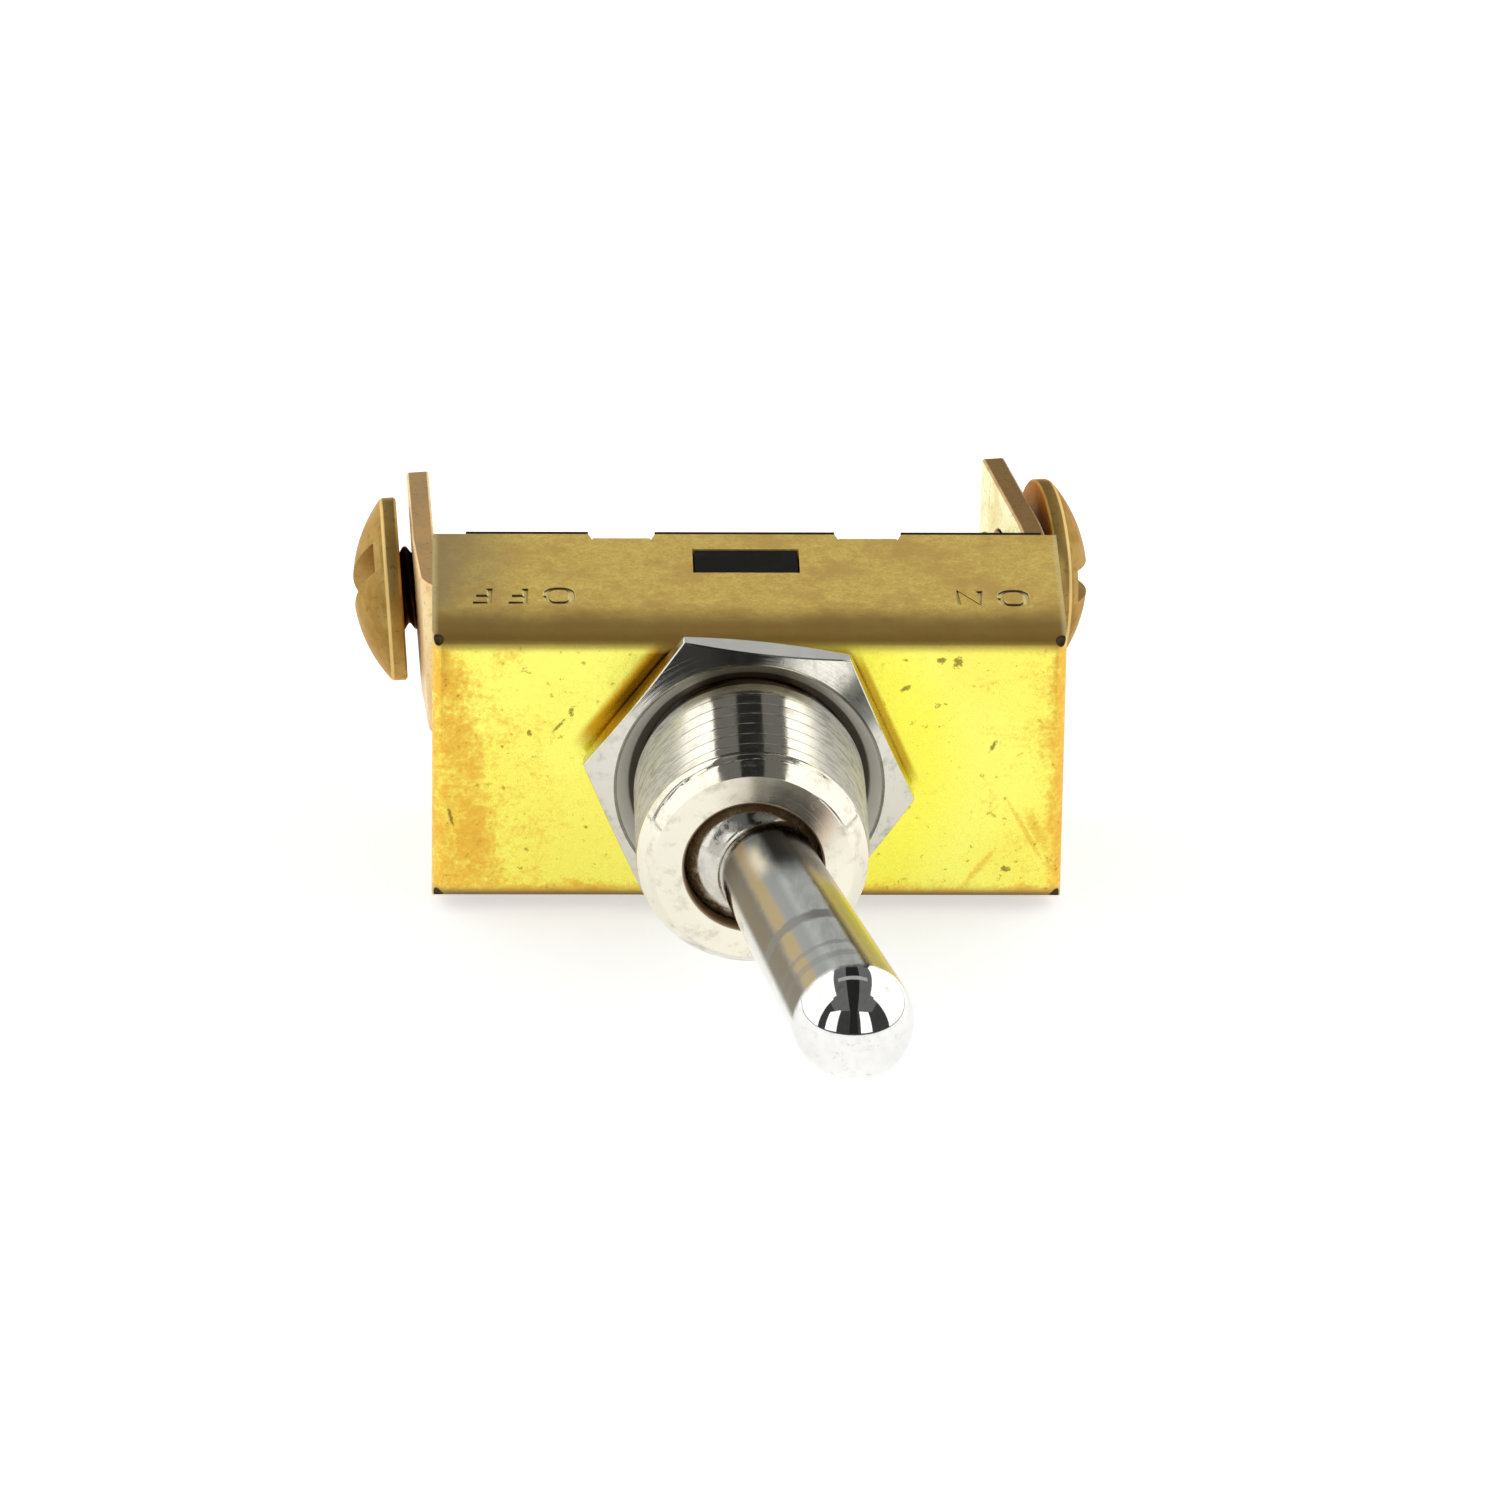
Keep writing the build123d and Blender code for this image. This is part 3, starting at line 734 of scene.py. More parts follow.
def mark(s, ragged, x, y, half_length, half_width, turn):
    """1 inside one mark with a ragged outline."""
    angle = math.radians(turn)
    from_middle = s.vector("SUBTRACT", s.place, (x, y, 0.0))
    long_way = Vector((math.cos(angle), math.sin(angle), 0.0)) / half_length
    short_way = Vector((-math.sin(angle), math.cos(angle), 0.0)) / half_width
    along = s.vector("DOT_PRODUCT", from_middle, tuple(long_way))
    across = s.vector("DOT_PRODUCT", from_middle, tuple(short_way))
    reach = s.plus(s.times(along, along), s.times(across, across))
    return s.step(s.plus(reach, s.times(ragged, 9.0)), 2.6, 0.2)


def shadow_beside_nut(s, base):
    """Painted shadow of the nut on the front, orange along its two upper side flats and darkest brown by the
    left one.
    """
    flats = (
        (NUT_TURN + math.radians(150), 1.05, NUT_SHADOW_LEFT, 0.85),
        (NUT_TURN + math.radians(30), 0.55, NUT_SHADOW_RIGHT, 0.0),
    )
    for angle, width, orange, dark in flats:
        outward = (math.cos(angle), math.sin(angle), 0.0)
        sideways = (-math.sin(angle), math.cos(angle), 0.0)
        gap = s.minus(s.vector("DOT_PRODUCT", s.place, outward), NUT_ACROSS_FLATS / 2)
        beside = s.vector("DOT_PRODUCT", s.place, sideways)
        ends = s.times(s.step(s.absolute(beside), 4.9, 2.9), s.step(gap, -0.6, -0.3))
        base = s.over(base, orange, ends, s.step(gap, width, width * 0.5))
        # Darkest painted shadow, closest to the left flat
        deepest_shadow = s.times(s.step(beside, 3.0, 0.5), s.step(gap, width * 0.65, width * 0.25))
        base = s.over(base, NUT_SHADOW_DEEP, ends, deepest_shadow, dark)
    return base


def case_front(s, blotch, cloud, grit, fine):
    """Lemon brass, orange tarnish towards the edges, brown marks and the nut's painted shadow: the colour and
    the tarnish's share.
    """
    x, y, _ = s.axes()
    fleck = s.noise(1.6, 3.0, 0.6)
    base = s.mix(s.step(cloud, 0.40, 0.62), LEMON, LEMON_PALE)
    by_nut = s.times(s.step(s.vector("LENGTH", s.place), 13.0, 9.5), s.step(x, -4.0, 4.0))
    base = s.over(base, LEMON_DEEP, by_nut, 0.7)
    slanted = s.plus(x, s.times(y, 0.17))
    near = s.most(s.step(slanted, -7.0, -13.5), s.step(x, 10.0, 16.5))
    edges = s.most(s.step(y, -6.0, -7.8), s.step(x, 15.4, 17.3), s.step(slanted, -12.8, -15.8),
                   s.times(near, 0.42))
    mottled = s.blend(0.25, s.blend(0.45, blotch, grit), fine)
    field = s.plus(mottled, s.times(edges, 0.21))
    tarnish = s.step(field, 0.55, 0.75)
    base = s.over(base, TARNISH, tarnish)
    base = s.over(base, TARNISH_DARK, s.step(field, 0.74, 0.88), 0.6)
    frayed = s.minus(fine, 0.5)
    for scratch in SCRATCHES:
        base = s.over(base, SCRATCH, mark(s, frayed, *scratch), 0.5)
    specks = s.times(s.step(fleck, 0.61, 0.70), s.step(grit, 0.44, 0.60))
    base = s.over(base, SPECK, specks, 0.8)
    for spot in SPOTS:
        base = s.over(base, SPOT, mark(s, frayed, *spot), 0.8)
    return shadow_beside_nut(s, base), tarnish


def case_sides(s, side, blotch, cloud, grit, fine):
    """Dull brown of the long sides: greyer at the OFF end, darker at the bend, worn bright with a painted
    highlight at the end edges.
    """
    x, _, z = s.axes()
    dull = s.mix(s.step(s.blend(0.5, grit, fine), 0.36, 0.66), SIDE_DULL, SIDE_BRIGHT)
    dull = s.over(dull, SIDE_BLOTCH, s.step(blotch, 0.46, 0.66), 0.7)
    grey = s.times(s.step(x, -11.5, -16.8), s.step(cloud, 0.30, 0.50))
    dull = s.over(dull, SIDE_GREY, grey, 0.8)
    bend = s.times(s.step(s.plus(z, s.times(blotch, 1.5)), -4.2, -0.6), side)
    dull = s.over(dull, SIDE_BEND, bend, 0.92)
    # Worn metal and a painted highlight along the end edges
    worn_edge_highlight = s.times(s.step(s.absolute(x), 16.95, 17.3), s.step(grit, 0.25, 0.45))
    return s.over(dull, SIDE_WORN_HIGHLIGHT, worn_edge_highlight, 0.6)


def case_hollows(s, base):
    """Painted highlight in the stamped words, painted shade on their walls that face left and on those that
    face the front, painted shade in the corner reliefs.
    """
    x, y, z = s.axes()
    sunk = s.times(s.step(y, CASE_HALF_Y - 0.015, CASE_HALF_Y - 0.05), s.step(y, 7.5, 7.7))
    words = s.times(sunk, s.band(z, -7.2, -3.3, 0.2), s.band(x, -16.4, 16.4, 0.2))
    facing = s.axes(s.normal)
    # Painted highlight over the stamped strokes
    base = s.over(base, STAMP_HIGHLIGHT, words, 0.7)
    # Painted shade on the stroke walls facing left, darker still on those facing the front
    upright = s.times(words, s.step(facing[0], -0.2, -0.5))
    base = s.over(base, STAMP_SHADE, upright, 0.8)
    base = s.over(base, HOLLOW_SHADE, words, s.step(facing[2], 0.05, 0.35))
    # Painted shade in the corner reliefs
    corner = s.vector("DISTANCE", s.vector("ABSOLUTE", s.place), CASE_CORNER)
    return s.over(base, HOLLOW_SHADE, s.step(corner, CORNER_RELIEF * 1.1, CORNER_RELIEF), 0.9)


def case_brass():
    """Sheet brass: lemon where the lacquer holds, orange tarnish at the edges, dull brown long sides."""
    s = Shader("case_brass_worn", 1.0, 0.3)
    blotch = s.noise(0.32, 7.0, 0.62)
    cloud = s.noise(0.12, 4.0, 0.5)
    grit = s.noise(2.2, 6.0, 0.7)
    fine = s.noise(5.0, 4.0, 0.7)
    side = s.step(s.absolute(s.axes()[1]), 6.95, 7.75)
    front, tarnish = case_front(s, blotch, cloud, grit, fine)
    base = s.mix(side, front, case_sides(s, side, blotch, cloud, grit, fine))
    s.colour(case_hollows(s, base))
    s.metal(s.blend(side, 1.0, 0.4))
    rough = s.blend(side, s.blend(tarnish, 0.27, 0.46), 0.50)
    s.rough(s.plus(rough, s.times(s.minus(grit, 0.5), 0.22)))
    s.bump(s.plus(s.times(grit, 0.6), blotch), 0.03, 0.5)
    return s.material


def plated(s, bright, stained):
    """Turned nickel plate: its colour, tool marks, stains, distance from the axis and turn around it."""
    x, _, z = s.axes()
    radius = s.vector("LENGTH", s.stretch(1.0, 1.0, 0.0))
    marks = s.tree.nodes.new("ShaderNodeTexNoise")
    marks.noise_dimensions = "1D"
    s.put(marks.inputs["W"], s.plus(s.times(radius, 9.0), s.times(z, 5.0)))
    marks.inputs["Detail"].default_value = 4.0
    stain = s.noise(0.9, 6.0, 0.62)
    base = s.mix(s.step(stain, 0.5, 0.72), bright, stained)
    return base, marks.outputs[0], stain, radius, s.math("DIVIDE", x, radius)


def bushing_nickel():
    """Nickel of the bushing: bright along its top, matt and soiled at its sides, dirty in the mouth."""
    s = Shader("nickel_turned", 1.0, 0.06)
    x, y, z = s.axes()
    base, lines, stain, radius, turn = plated(s, NICKEL, NICKEL_STAINED)
    outside = s.step(radius, RIM_RADIUS - 0.05, RIM_RADIUS + 0.02)
    bevel = s.step(z, BUSHING_HEIGHT - BEVEL_HEIGHT - 0.1, BUSHING_HEIGHT - BEVEL_HEIGHT + 0.1)
    sides = s.most(s.step(turn, 0.42, 0.66), s.step(turn, -0.50, -0.74))
    below_bevel = s.minus(1.0, bevel)
    matt = s.times(outside, sides, below_bevel)
    wound = s.math("DIVIDE", s.math("ARCTAN2", y, x), 2 * math.pi)
    phase = s.math("FRACT", s.minus(s.math("DIVIDE", z, PITCH), wound))
    groove = s.step(s.absolute(s.minus(phase, 0.5)), 0.19, 0.06)
    aside = s.step(s.absolute(turn), 0.16, 0.30)
    soiled = s.times(groove, aside, outside, s.step(stain, 0.30, 0.50), below_bevel)
    streak = s.noise(1.6, 5.0, 0.65, s.stretch(0.7, 0.7, 2.5))
    grey = s.mix(s.step(streak, 0.44, 0.66), NICKEL_MATT, NICKEL_STREAK)
    base = s.over(base, grey, matt)
    base = s.over(base, NICKEL_SOILED, soiled, 0.85)
    ring = s.step(z, BUSHING_HEIGHT - 0.05, BUSHING_HEIGHT - 0.02)
    shaded = s.times(s.band(turn, -0.10, 0.20, 0.14), s.step(y, 2.0, 3.2))
    base = s.over(base, NICKEL_SHADED, shaded, ring, 0.65)
    mouth = s.times(s.step(radius, MOUTH_RADIUS + 0.17, MOUTH_RADIUS + 0.03), s.step(z, 8.0, 9.0))
    s.colour(s.over(base, MOUTH_BROWN, mouth, 0.95))
    s.metal(s.blend(mouth, s.blend(matt, 1.0, 0.30), 0.4))
    hazed = s.times(s.step(stain, 0.45, 0.7), 0.08)
    marked = s.times(lines, 0.04)
    s.rough(s.plus(s.blend(matt, 0.06, 0.45), hazed, s.times(ring, 0.14), marked, s.times(mouth, 0.4)))
    lean = s.times(outside, s.blend(bevel, 0.12, s.blend(sides, -0.33, 0.0)))
    s.bump(s.plus(lines, s.times(stain, 0.5)), 0.008, 0.4, s.tilted(lean))
    return s.material


def nut_nickel():
    """Nickel of the nut: matt upper flat painted lighter, countersink with painted shade and painted light at
    its sides, painted shadow in the gap by the bushing, a painted dark reflection on the face.
    """
    s = Shader("nickel_hazed", 1.0, 0.06)
    _, y, z = s.axes()
    base, lines, stain, radius, turn = plated(s, NUT_PLATE, NUT_STAINED)
    normal = s.axes(s.normal)
    face = s.step(normal[2], 0.7, 0.85)
    # Painted dark reflection on the face's upper right
    painted_dark_reflection = s.times(s.band(turn, 0.60, 0.93, 0.10), s.step(y, 1.0, 2.0))
    base = s.over(base, NUT_DARK_REFLECTION, painted_dark_reflection, face, 0.9)
    sink = s.times(s.step(radius, NUT_RECESS_RADIUS + 0.03, NUT_RECESS_RADIUS - 0.1),
                   s.step(z, NUT_HIGH - 0.02, NUT_HIGH - 0.15))
    lit = s.times(sink, s.step(s.absolute(turn), 0.25, 0.8))
    # Upper flat: matt, and painted lighter
    flat = s.times(s.step(normal[1], 0.8, 0.95), s.step(s.absolute(normal[2]), 0.5, 0.3))
    base = s.over(base, NUT_UPPER_FLAT_LIT, flat)
    # Painted shade in the countersink, painted light at its sides
    base = s.over(base, NUT_SINK_SHADED, sink, 0.9)
    base = s.over(base, NUT_SINK_LIT, lit)
    # Painted shadow in the gap next to the bushing
    gap = s.times(sink, s.step(radius, THREAD_RADIUS + 0.34, THREAD_RADIUS + 0.18))
    s.colour(s.over(base, NUT_GAP_SHADOW, gap, 0.9))
    matt = s.most(flat, s.times(sink, 0.8))
    s.metal(s.blend(lit, s.blend(matt, 1.0, 0.55), 0.25))
    hazed = s.times(s.step(stain, 0.45, 0.7), 0.08)
    s.rough(s.plus(s.blend(matt, 0.06, 0.40), hazed, s.times(lines, 0.04)))
    s.bump(s.plus(lines, s.times(stain, 0.5)), 0.008, 0.4, s.tilted(s.times(lit, 2.5)))
    return s.material


def chrome():
    """Chrome bat handle: dull grey along its upper left side with painted shade towards its left edge,
    ringed, polished tip, painted brass reflection on its right, a painted glint, painted shadow on the neck,
    a darker ball.
    """
    s = Shader("chrome_lever", 1.0, 0.08)
    y = s.axes()[1]
    sine, cosine = math.sin(LEVER_TILT), math.cos(LEVER_TILT)
    along = s.minus(s.vector("DOT_PRODUCT", s.place, (sine, 0, cosine)), PIVOT_HEIGHT * cosine)
    across = s.plus(s.vector("DOT_PRODUCT", s.place, (cosine, 0, -sine)), PIVOT_HEIGHT * sine)
    taper = (LEVER_TIP_RADIUS - LEVER_ROOT_RADIUS) / (LEVER_REACH - LEVER_ROOT_HEIGHT)
    girth = s.math("MULTIPLY_ADD", along, taper, LEVER_ROOT_RADIUS - taper * LEVER_ROOT_HEIGHT)
    turn = s.math("DIVIDE", across, girth)
    spots = s.noise(1.3, 6.0, 0.6)
    scuff = s.noise(0.8, 6.0, 0.7, s.stretch(3.0, 3.0, 0.8))
    edge = s.plus(along, s.times(s.minus(spots, 0.5), 0.6))
    wavy = s.plus(turn, s.times(s.minus(scuff, 0.5), 0.10))
    shaft = s.times(s.band(edge, 3.8, 22.0, 0.6), s.step(y, 0.1, 0.7))
    haze = s.times(shaft, s.step(wavy, 0.24, 0.12))
    # Painted reflection of the brass case along the lever's right side
    gold_reflection = s.times(shaft, s.step(wavy, 0.10, 0.22))
    ball = s.step(along, 3.8, 3.2)

    tint = s.mix(s.step(scuff, 0.40, 0.70), CHROME, CHROME_SCUFFED)
    tint = s.over(tint, CHROME_SPOT, s.step(spots, 0.6, 0.72), 0.4)
    # The ball is darker
    tint = s.over(tint, BALL_DARKER, ball, 0.6)
    amber_reflection = s.mix(s.step(wavy, 0.34, 0.46), AMBER_REFLECTION, AMBER_REFLECTION_GREY)
    amber_reflection = s.over(amber_reflection, ROSE_REFLECTION, s.step(wavy, 0.58, 0.74))
    tint = s.over(tint, amber_reflection, gold_reflection, 0.9)
    dull = s.mix(s.step(scuff, 0.35, 0.65), HAZE, HAZE_SCUFFED)
    # Painted shade towards the lever's left side, darkest at its left edge
    dull = s.over(dull, HAZE_SHADE, s.step(wavy, -0.28, -0.46))
    dull = s.over(dull, HAZE_TAN, s.band(wavy, -0.84, -0.54, 0.10))
    dull = s.over(dull, HAZE_EDGE_SHADE, s.step(wavy, -0.74, -0.86))
    for middle, half, strength in LEVER_RINGS:
        near = s.step(s.absolute(s.minus(edge, middle)), half * 1.5, half * 0.7)
        dull = s.over(dull, HAZE_RING, near, strength)
    tint = s.over(tint, dull, haze)
    glint = s.times(s.band(edge, 4.2, 9.4, 2.2), s.band(wavy, -0.74, -0.28, 0.22))
    tint = s.over(tint, GLINT, glint)
    # Painted shadow on the neck next to the bushing's mouth
    neck = s.times(s.step(edge, 11.0, 7.2), s.step(along, 3.0, 3.6), s.band(wavy, -0.52, 1.0, 0.34))
    tint = s.over(tint, NECK_SHADOW, neck, 0.98)
    s.colour(tint)
    s.metal(s.blend(haze, 1.0, 0.25))
    dirty_ball = s.times(ball, s.blend(s.step(spots, 0.4, 0.6), 0.08, 0.35))
    s.rough(s.plus(s.blend(shaft, 0.05, 0.10), s.times(haze, 0.28), dirty_ball, s.times(gold_reflection, 0.14)))
    s.bump(s.times(scuff, s.plus(haze, ball)), 0.006, 0.4)
    return s.material


def worn_noise(s):
    """The blotches and the grit of tarnished brass."""
    return s.noise(0.35, 7.0, 0.6), s.noise(2.6, 6.0, 0.65)


def tarnished(s, bright, warm, dark):
    """Blotched and speckled brass over a shader's piece, returned as a colour."""
    blotch, grit = worn_noise(s)
    base = s.mix(s.step(blotch, 0.38, 0.64), bright, warm)
    return s.over(base, dark, s.step(grit, 0.52, 0.72), 0.6)


def worn_skin(s):
    """Uneven gloss and a pitted skin for tarnished brass."""
    blotch, grit = worn_noise(s)
    s.rough(s.plus(s.blend(s.step(blotch, 0.4, 0.65), 0.28, 0.42), s.times(grit, 0.10)))
    s.bump(grit, 0.03, 0.4)


def strip_brass():
    """Tarnished brass of the terminals: the left browner on its faces, the right on its sheared edges."""
    s = Shader("terminal_brass_worn", 0.6, 0.35)
    worn_skin(s)
    on_right = s.step(s.axes()[0], -1.0, 1.0)
    brown = tarnished(s, *STRIP_LEFT_FACE)
    bright = tarnished(s, *STRIP_RIGHT_FACE)
    face = s.mix(on_right, brown, bright)
    left = tarnished(s, *STRIP_LEFT_EDGE)
    right = tarnished(s, *STRIP_RIGHT_EDGE)
    edge = s.mix(on_right, left, right)
    s.colour(s.mix(s.step(s.absolute(s.axes(s.normal)[1]), 0.25, 0.45), face, edge))
    return s.material


def screw_brass(name, joint, gap, slot_turn):
    """Turned brass gone brown, with a painted highlight where the dome meets the rim, painted light in the
    slot and painted shade under the head.
    """
    place = screw_place(joint)
    axis = Vector(place.col[2][:3])
    slot_side = axis.cross(slot_line(slot_turn)).normalized()
    s = Shader(name, 0.6, 0.35)
    s.bsdf.inputs["Specular IOR Level"].default_value = 0.15
    s.bsdf.inputs["Specular Tint"].default_value = (0.95, 0.62, 0.28, 1.0)
    worn_skin(s)
    from_middle = s.vector("SUBTRACT", s.place, tuple(place.translation / MM))
    height = s.vector("DOT_PRODUCT", from_middle, tuple(axis))
    from_slot = s.absolute(s.vector("DOT_PRODUCT", from_middle, tuple(slot_side)))
    under = STRIP_THICKNESS / 2 + gap
    rim = under + SCREW_RIM
    base = tarnished(s, *SCREW_BROWN)
    # Painted highlight where the dome meets the rim
    base = s.over(base, SCREW_RIM_HIGHLIGHT, s.band(height, rim - 0.14, rim + 0.12, 0.08))
    # Painted light in the slot, lightening its shaded walls
    in_slot = s.times(s.step(from_slot, SCREW_SLOT_WIDTH / 2 + 0.05, SCREW_SLOT_WIDTH / 2 - 0.02),
                      s.step(height, rim + 0.2, rim + 0.3))
    base = s.over(base, SCREW_SLOT_LIGHT, in_slot, 0.4)
    # Painted shade under the head and on the shank, warmer towards the head's edge
    below = s.times(s.step(height, under + 0.06, under + 0.02),
                    s.step(height, -STRIP_THICKNESS / 2 - 0.1, -STRIP_THICKNESS / 2))
    from_axis = s.vector("LENGTH", s.vector("CROSS_PRODUCT", from_middle, tuple(axis)))
    shade = s.mix(s.step(from_axis, 2.6, 4.9), UNDER_HEAD_SHADE, UNDER_HEAD_WARM_SHADE)
    s.colour(s.mix(below, base, shade))
    return s.material


def moulding():
    """Black phenolic with a fine mottled skin."""
    s = Shader("phenolic_black", 0.0, 0.45)
    s.bsdf.inputs["Specular IOR Level"].default_value = 0.2
    grain = s.noise(4.0, 6.0, 0.6)
    dust = s.noise(0.8, 5.0, 0.6)
    base = s.mix(grain, (0.003, 0.003, 0.003), (0.012, 0.012, 0.011))
    s.colour(s.mix(s.times(s.step(dust, 0.55, 0.75), 0.2), base, (0.06, 0.05, 0.04)))
    s.rough(s.blend(grain, 0.36, 0.58))
    s.bump(grain, 0.02, 0.4)
    return s.material


def fibre():
    """Red vulcanised fibre with a pressed grain."""
    s = Shader("fibre_red", 0.0, 0.6)
    grain = s.noise(1.6, 7.0, 0.65, s.stretch(1.0, 3.0, 1.0))
    s.colour(s.mix(grain, (0.16, 0.045, 0.025), (0.30, 0.10, 0.06)))
    s.rough(s.blend(grain, 0.5, 0.72))
    s.bump(grain, 0.03, 0.5)
    return s.material


def plain_metal(name, bright, dull, roughness):
    """Clean inner metal with a drawn grain."""
    s = Shader(name, 1.0, roughness)
    grain = s.noise(1.5, 6.0, 0.6, s.stretch(0.6, 4.0, 4.0))
    cloud = s.noise(0.6, 5.0, 0.55)
    s.colour(s.mix(s.blend(0.5, grain, cloud), dull, bright))
    s.rough(s.plus(roughness - 0.06, s.times(grain, 0.16)))
    s.bump(grain, 0.01, 0.4)
    return s.material


def dress(obj, material):
    """Gives a made piece its one material."""
    obj.data.materials.clear()
    obj.data.materials.append(material)
    for polygon in obj.data.polygons:
        polygon.material_index = 0


def stand_for(obj, node, body, material):
    """Puts a made piece in the place of a CAD node."""
    dress(obj, material)
    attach(obj, body)
    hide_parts(node)


def repaint(node, material):
    """Gives a CAD node its material."""
    frame["nodes"][node].data.materials[0] = material


def make_switch():
    """All pieces of the switch: made ones in the place of their nodes, the others painted."""
    terminal_brass = strip_brass()
    inner_brass = plain_metal("inner_brass_clean", (0.82, 0.62, 0.26), (0.66, 0.46, 0.18), 0.32)
    steel = plain_metal("steel_bright", (0.62, 0.62, 0.61), (0.46, 0.46, 0.46), 0.30)
    silver = plain_metal("silver_dull", (0.80, 0.79, 0.77), (0.62, 0.61, 0.59), 0.38)
    red_fibre = fibre()
    stand_for(make_case(), "case", "housing", case_brass())
    stand_for(make_bushing(), "bushing", "housing", bushing_nickel())
    stand_for(make_nut(), "mounting_nut", "nut", nut_nickel())
    for side, (gap, slot_turn) in SCREWS.items():
        strip = make_terminal(f"terminal_{side}", f"strip_{side}")
        stand_for(strip, f"terminal_{side}", "housing", terminal_brass)
        joint = f"screw_{side}_turn"
        screw = make_screw(f"screw_{side}_slotted", joint, gap, slot_turn)
        brown = screw_brass(f"screw_brass_{side}", joint, gap, slot_turn)
        stand_for(screw, f"terminal_screw_{side}", f"screw_{side}", brown)
    repaint("lever", chrome())
    repaint("base", moulding())
    for node in ("liner", "plunger"):
        repaint(node, red_fibre)
    for node in ("lever_pin", "plunger_spring", "rocker_pin"):
        repaint(node, steel)
    for node in ("moving_contact", "fixed_contact"):
        repaint(node, silver)
    for node in ("rocker", "fulcrum_bracket", "contact_rivet", "bracket_rivet"):
        repaint(node, inner_brass)


def card(name, corners, material):
    """A flat card of the studio, which is no part of the switch."""
    mesh = bpy.data.meshes.new(name)
    mesh.from_pydata([Vector(c) for c in corners], [], [(0, 1, 2, 3)])
    mesh.materials.append(material)
    obj = make_object(name, mesh)
    return obj


def level_card(name, left, right, back, front, place, material):
    """A card lying level. It faces down, or up if its back and front are given the other way round."""
    corners = [(left, place, back), (right, place, back), (right, place, front), (left, place, front)]
    return card(name, corners, material)


def side_card(name, place, low, high, back, front, material):
    """An upright card along the room."""
    corners = [(place, low, back), (place, low, front), (place, high, front), (place, high, back)]
    return card(name, corners, material)


def wall_card(name, left, right, low, high, place, material):
    """An upright card across the room."""
    corners = [(left, low, place), (right, low, place), (right, high, place), (left, high, place)]
    return card(name, corners, material)


def empty_material(name):
    """A material with nothing but its output: its node tree and the surface socket."""
    material = bpy.data.materials.new(name)
    material.use_nodes = True
    tree = material.node_tree
    tree.nodes.clear()
    return material, tree, tree.nodes.new("ShaderNodeOutputMaterial").inputs["Surface"]


def background_rays(tree):
    """1 for camera, glossy and transmission rays, which see the white background."""
    path = tree.nodes.new("ShaderNodeLightPath").outputs
    total = path["Is Camera Ray"]
    for kind in ("Is Glossy Ray", "Is Transmission Ray"):
        both = tree.nodes.new("ShaderNodeMath")
        both.operation = "MAXIMUM"
        tree.links.new(total, both.inputs[0])
        tree.links.new(path[kind], both.inputs[1])
        total = both.outputs[0]
    return total


def make_floor():
    """White table under the part as it lies in the photograph, seen from above only."""
    material, tree, surface = empty_material("floor_white")
    diffuse = tree.nodes.new("ShaderNodeBsdfDiffuse")
    diffuse.inputs["Color"].default_value = FLOOR_COLOUR
    glow = tree.nodes.new("ShaderNodeEmission")
    lift = tree.nodes.new("ShaderNodeMath")
    lift.operation = "MULTIPLY"
    lift.inputs[1].default_value = FLOOR_LIFT
    tree.links.new(background_rays(tree), lift.inputs[0])
    tree.links.new(lift.outputs[0], glow.inputs["Strength"])
    add = tree.nodes.new("ShaderNodeAddShader")
    tree.links.new(diffuse.outputs[0], add.inputs[0])
    tree.links.new(glow.outputs[0], add.inputs[1])
    clear = tree.nodes.new("ShaderNodeBsdfTransparent")
    behind = tree.nodes.new("ShaderNodeNewGeometry")
    choose = tree.nodes.new("ShaderNodeMixShader")
    tree.links.new(behind.outputs["Backfacing"], choose.inputs[0])
    tree.links.new(add.outputs[0], choose.inputs[1])
    tree.links.new(clear.outputs[0], choose.inputs[2])
    tree.links.new(choose.outputs[0], surface)
    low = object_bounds()[0].y - FLOOR_GAP
    level_card("floor", -FLOOR_REACH, FLOOR_REACH, FLOOR_REACH, -FLOOR_REACH, low, material)


def glow_material(name, strength):
    """An even white glow."""
    material, tree, surface = empty_material(name)
    glow = tree.nodes.new("ShaderNodeEmission")
    glow.inputs["Strength"].default_value = strength
    tree.links.new(glow.outputs[0], surface)
    return material


def make_room():
    """Dark room seen only in the metal's reflections, with windows in front and over the softboxes."""
    dim = glow_material("room_dim", 0.05)
    ceiling = glow_material("room_ceiling", 0.15)
    dark = glow_material("room_dark", 0.02)
    glow = glow_material("room_glow", 0.45)
    window = glow_material("room_window", 1.5)
    side, top, back, front = ROOM_SIDE, ROOM_TOP, ROOM_BACK, ROOM_FRONT
    strip = 0.22
    over = SOFTBOX_MIDDLE + SOFTBOX_HEIGHT / 2
    cards = [
        side_card("room_left", -side, 0, top, back, front, dim),
        side_card("room_right", side, 0, top, back, front, dim),
        wall_card("room_back", -side, side, 0, top, back, dim),
        wall_card("room_front", -side, side, 0, top, front, dim),
        level_card("room_top", -side, side, back, front, top, ceiling),
        level_card("dark_top", -strip, strip, back, front, top - 0.02, dark),
        level_card("glow_top", -0.5, 0.5, -0.7, -0.45, top - 0.04, glow),
        side_card("window_over_left", -SOFTBOX_SIDE, over, 1.1, -2.1, 0.2, window),
        side_card("window_over_right", SOFTBOX_SIDE, over, 1.1, -2.1, 0.2, window),
        wall_card("dark_back", -strip * 1.5, strip * 1.5, 0, top, back + 0.05, dark),
        wall_card("dark_front", -strip * 0.75, strip * 0.75, 0.05, top, front - 0.05, dark),
        wall_card("window_left", -1.15, -0.52, 0.05, 0.90, 0.85, window),
        wall_card("window_right", 0.20, 0.57, 0.05, 0.80, 0.85, window),
    ]
    for each in cards:
        each.visible_camera = False
        each.visible_shadow = False
        each.visible_diffuse = False


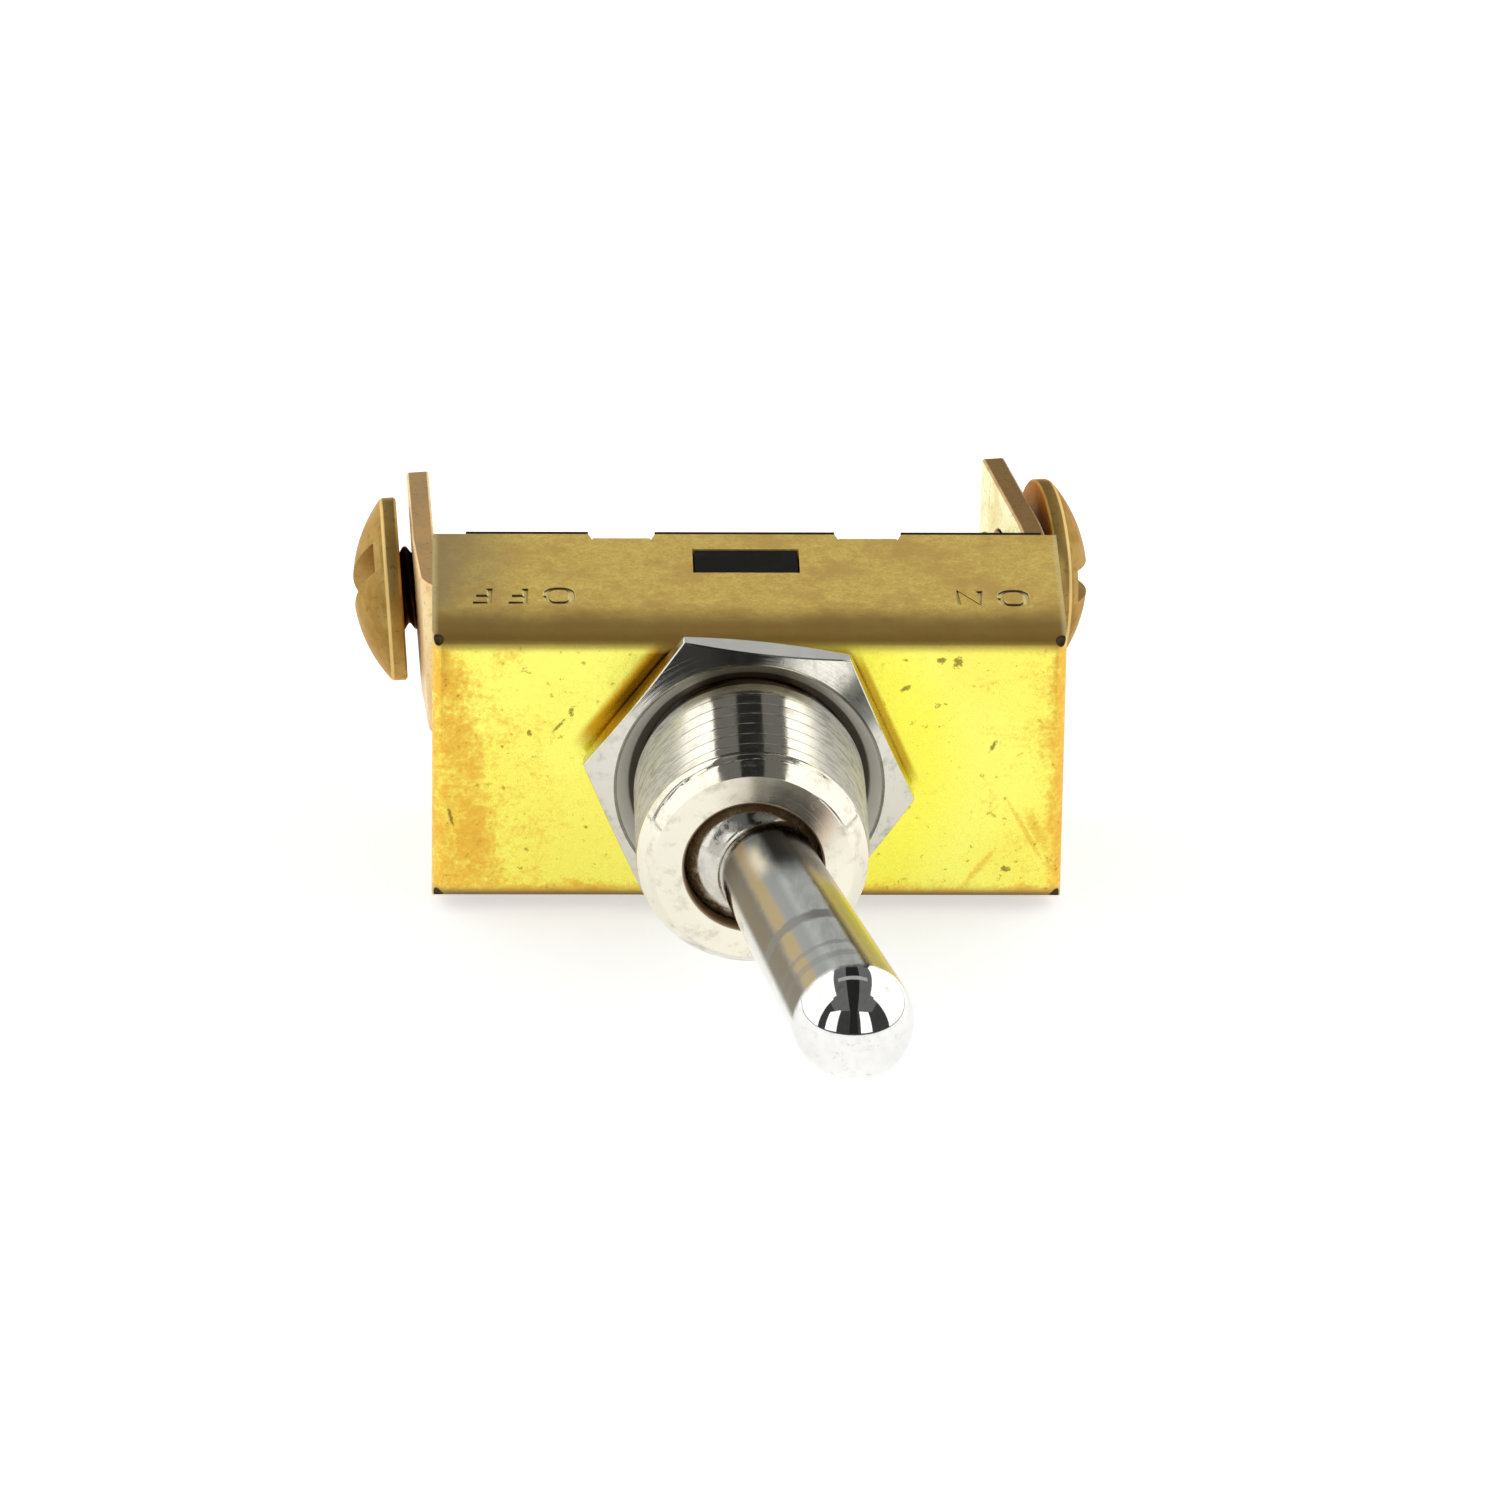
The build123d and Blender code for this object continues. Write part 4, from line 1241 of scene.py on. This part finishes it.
def make_world():
    """White background that lights the part less than it shows."""
    world = bpy.data.worlds.new("studio")
    bpy.context.scene.world = world
    world.use_nodes = True
    tree = world.node_tree
    back = tree.nodes["Background"]
    back.inputs["Color"].default_value = (1, 1, 1, 1)
    strength = tree.nodes.new("ShaderNodeMix")
    tree.links.new(background_rays(tree), strength.inputs[0])
    strength.inputs[2].default_value = WORLD_FILL
    strength.inputs[3].default_value = WORLD_SEEN
    tree.links.new(strength.outputs[0], back.inputs["Strength"])


def softbox(name, side):
    """A long softbox beside the part, facing the room's middle. Side is -1 or 1."""
    light = bpy.data.lights.new(name, "AREA")
    light.shape = "RECTANGLE"
    light.size = SOFTBOX_LENGTH
    light.size_y = SOFTBOX_HEIGHT
    light.energy = SOFTBOX_POWER
    obj = make_object(name, light)
    obj.location = (side * SOFTBOX_SIDE, SOFTBOX_MIDDLE, SOFTBOX_BACK)
    up = Vector((0, 1, 0))
    back = Vector((side, 0, 0))
    across = up.cross(back)
    obj.rotation_euler = Matrix((across, up, back)).transposed().to_euler()
    obj.visible_camera = False


def turned_pair(a, b, angle):
    """Two square directions turned in their plane, the first towards the second."""
    return a * math.cos(angle) + b * math.sin(angle), b * math.cos(angle) - a * math.sin(angle)


def make_camera():
    """The photograph's camera: in front of the lever and above it, looking down at the lettered side."""
    right = Vector((1, 0, 0))
    up = Vector((0, math.cos(VIEW_ELEVATION), -math.sin(VIEW_ELEVATION)))
    back = Vector((0, math.sin(VIEW_ELEVATION), math.cos(VIEW_ELEVATION)))
    right, back = turned_pair(right, back, VIEW_YAW)
    right, up = turned_pair(right, up, VIEW_ROLL)
    camera = bpy.data.cameras.new("camera")
    camera.lens = FOCAL_LENGTH
    camera.sensor_width = SENSOR
    camera.clip_start = NEAR_CLIP
    obj = make_object("camera", camera)
    matrix = Matrix((right, up, back)).transposed().to_4x4()
    matrix.translation = CAMERA_PLACE
    obj.matrix_world = matrix
    bpy.context.scene.camera = obj


make_switch()
make_floor()
make_room()
make_world()
for side in (-1, 1):
    softbox(f"softbox_{side:+d}", side)
make_camera()
bpy.context.scene.view_settings.view_transform = "Standard"
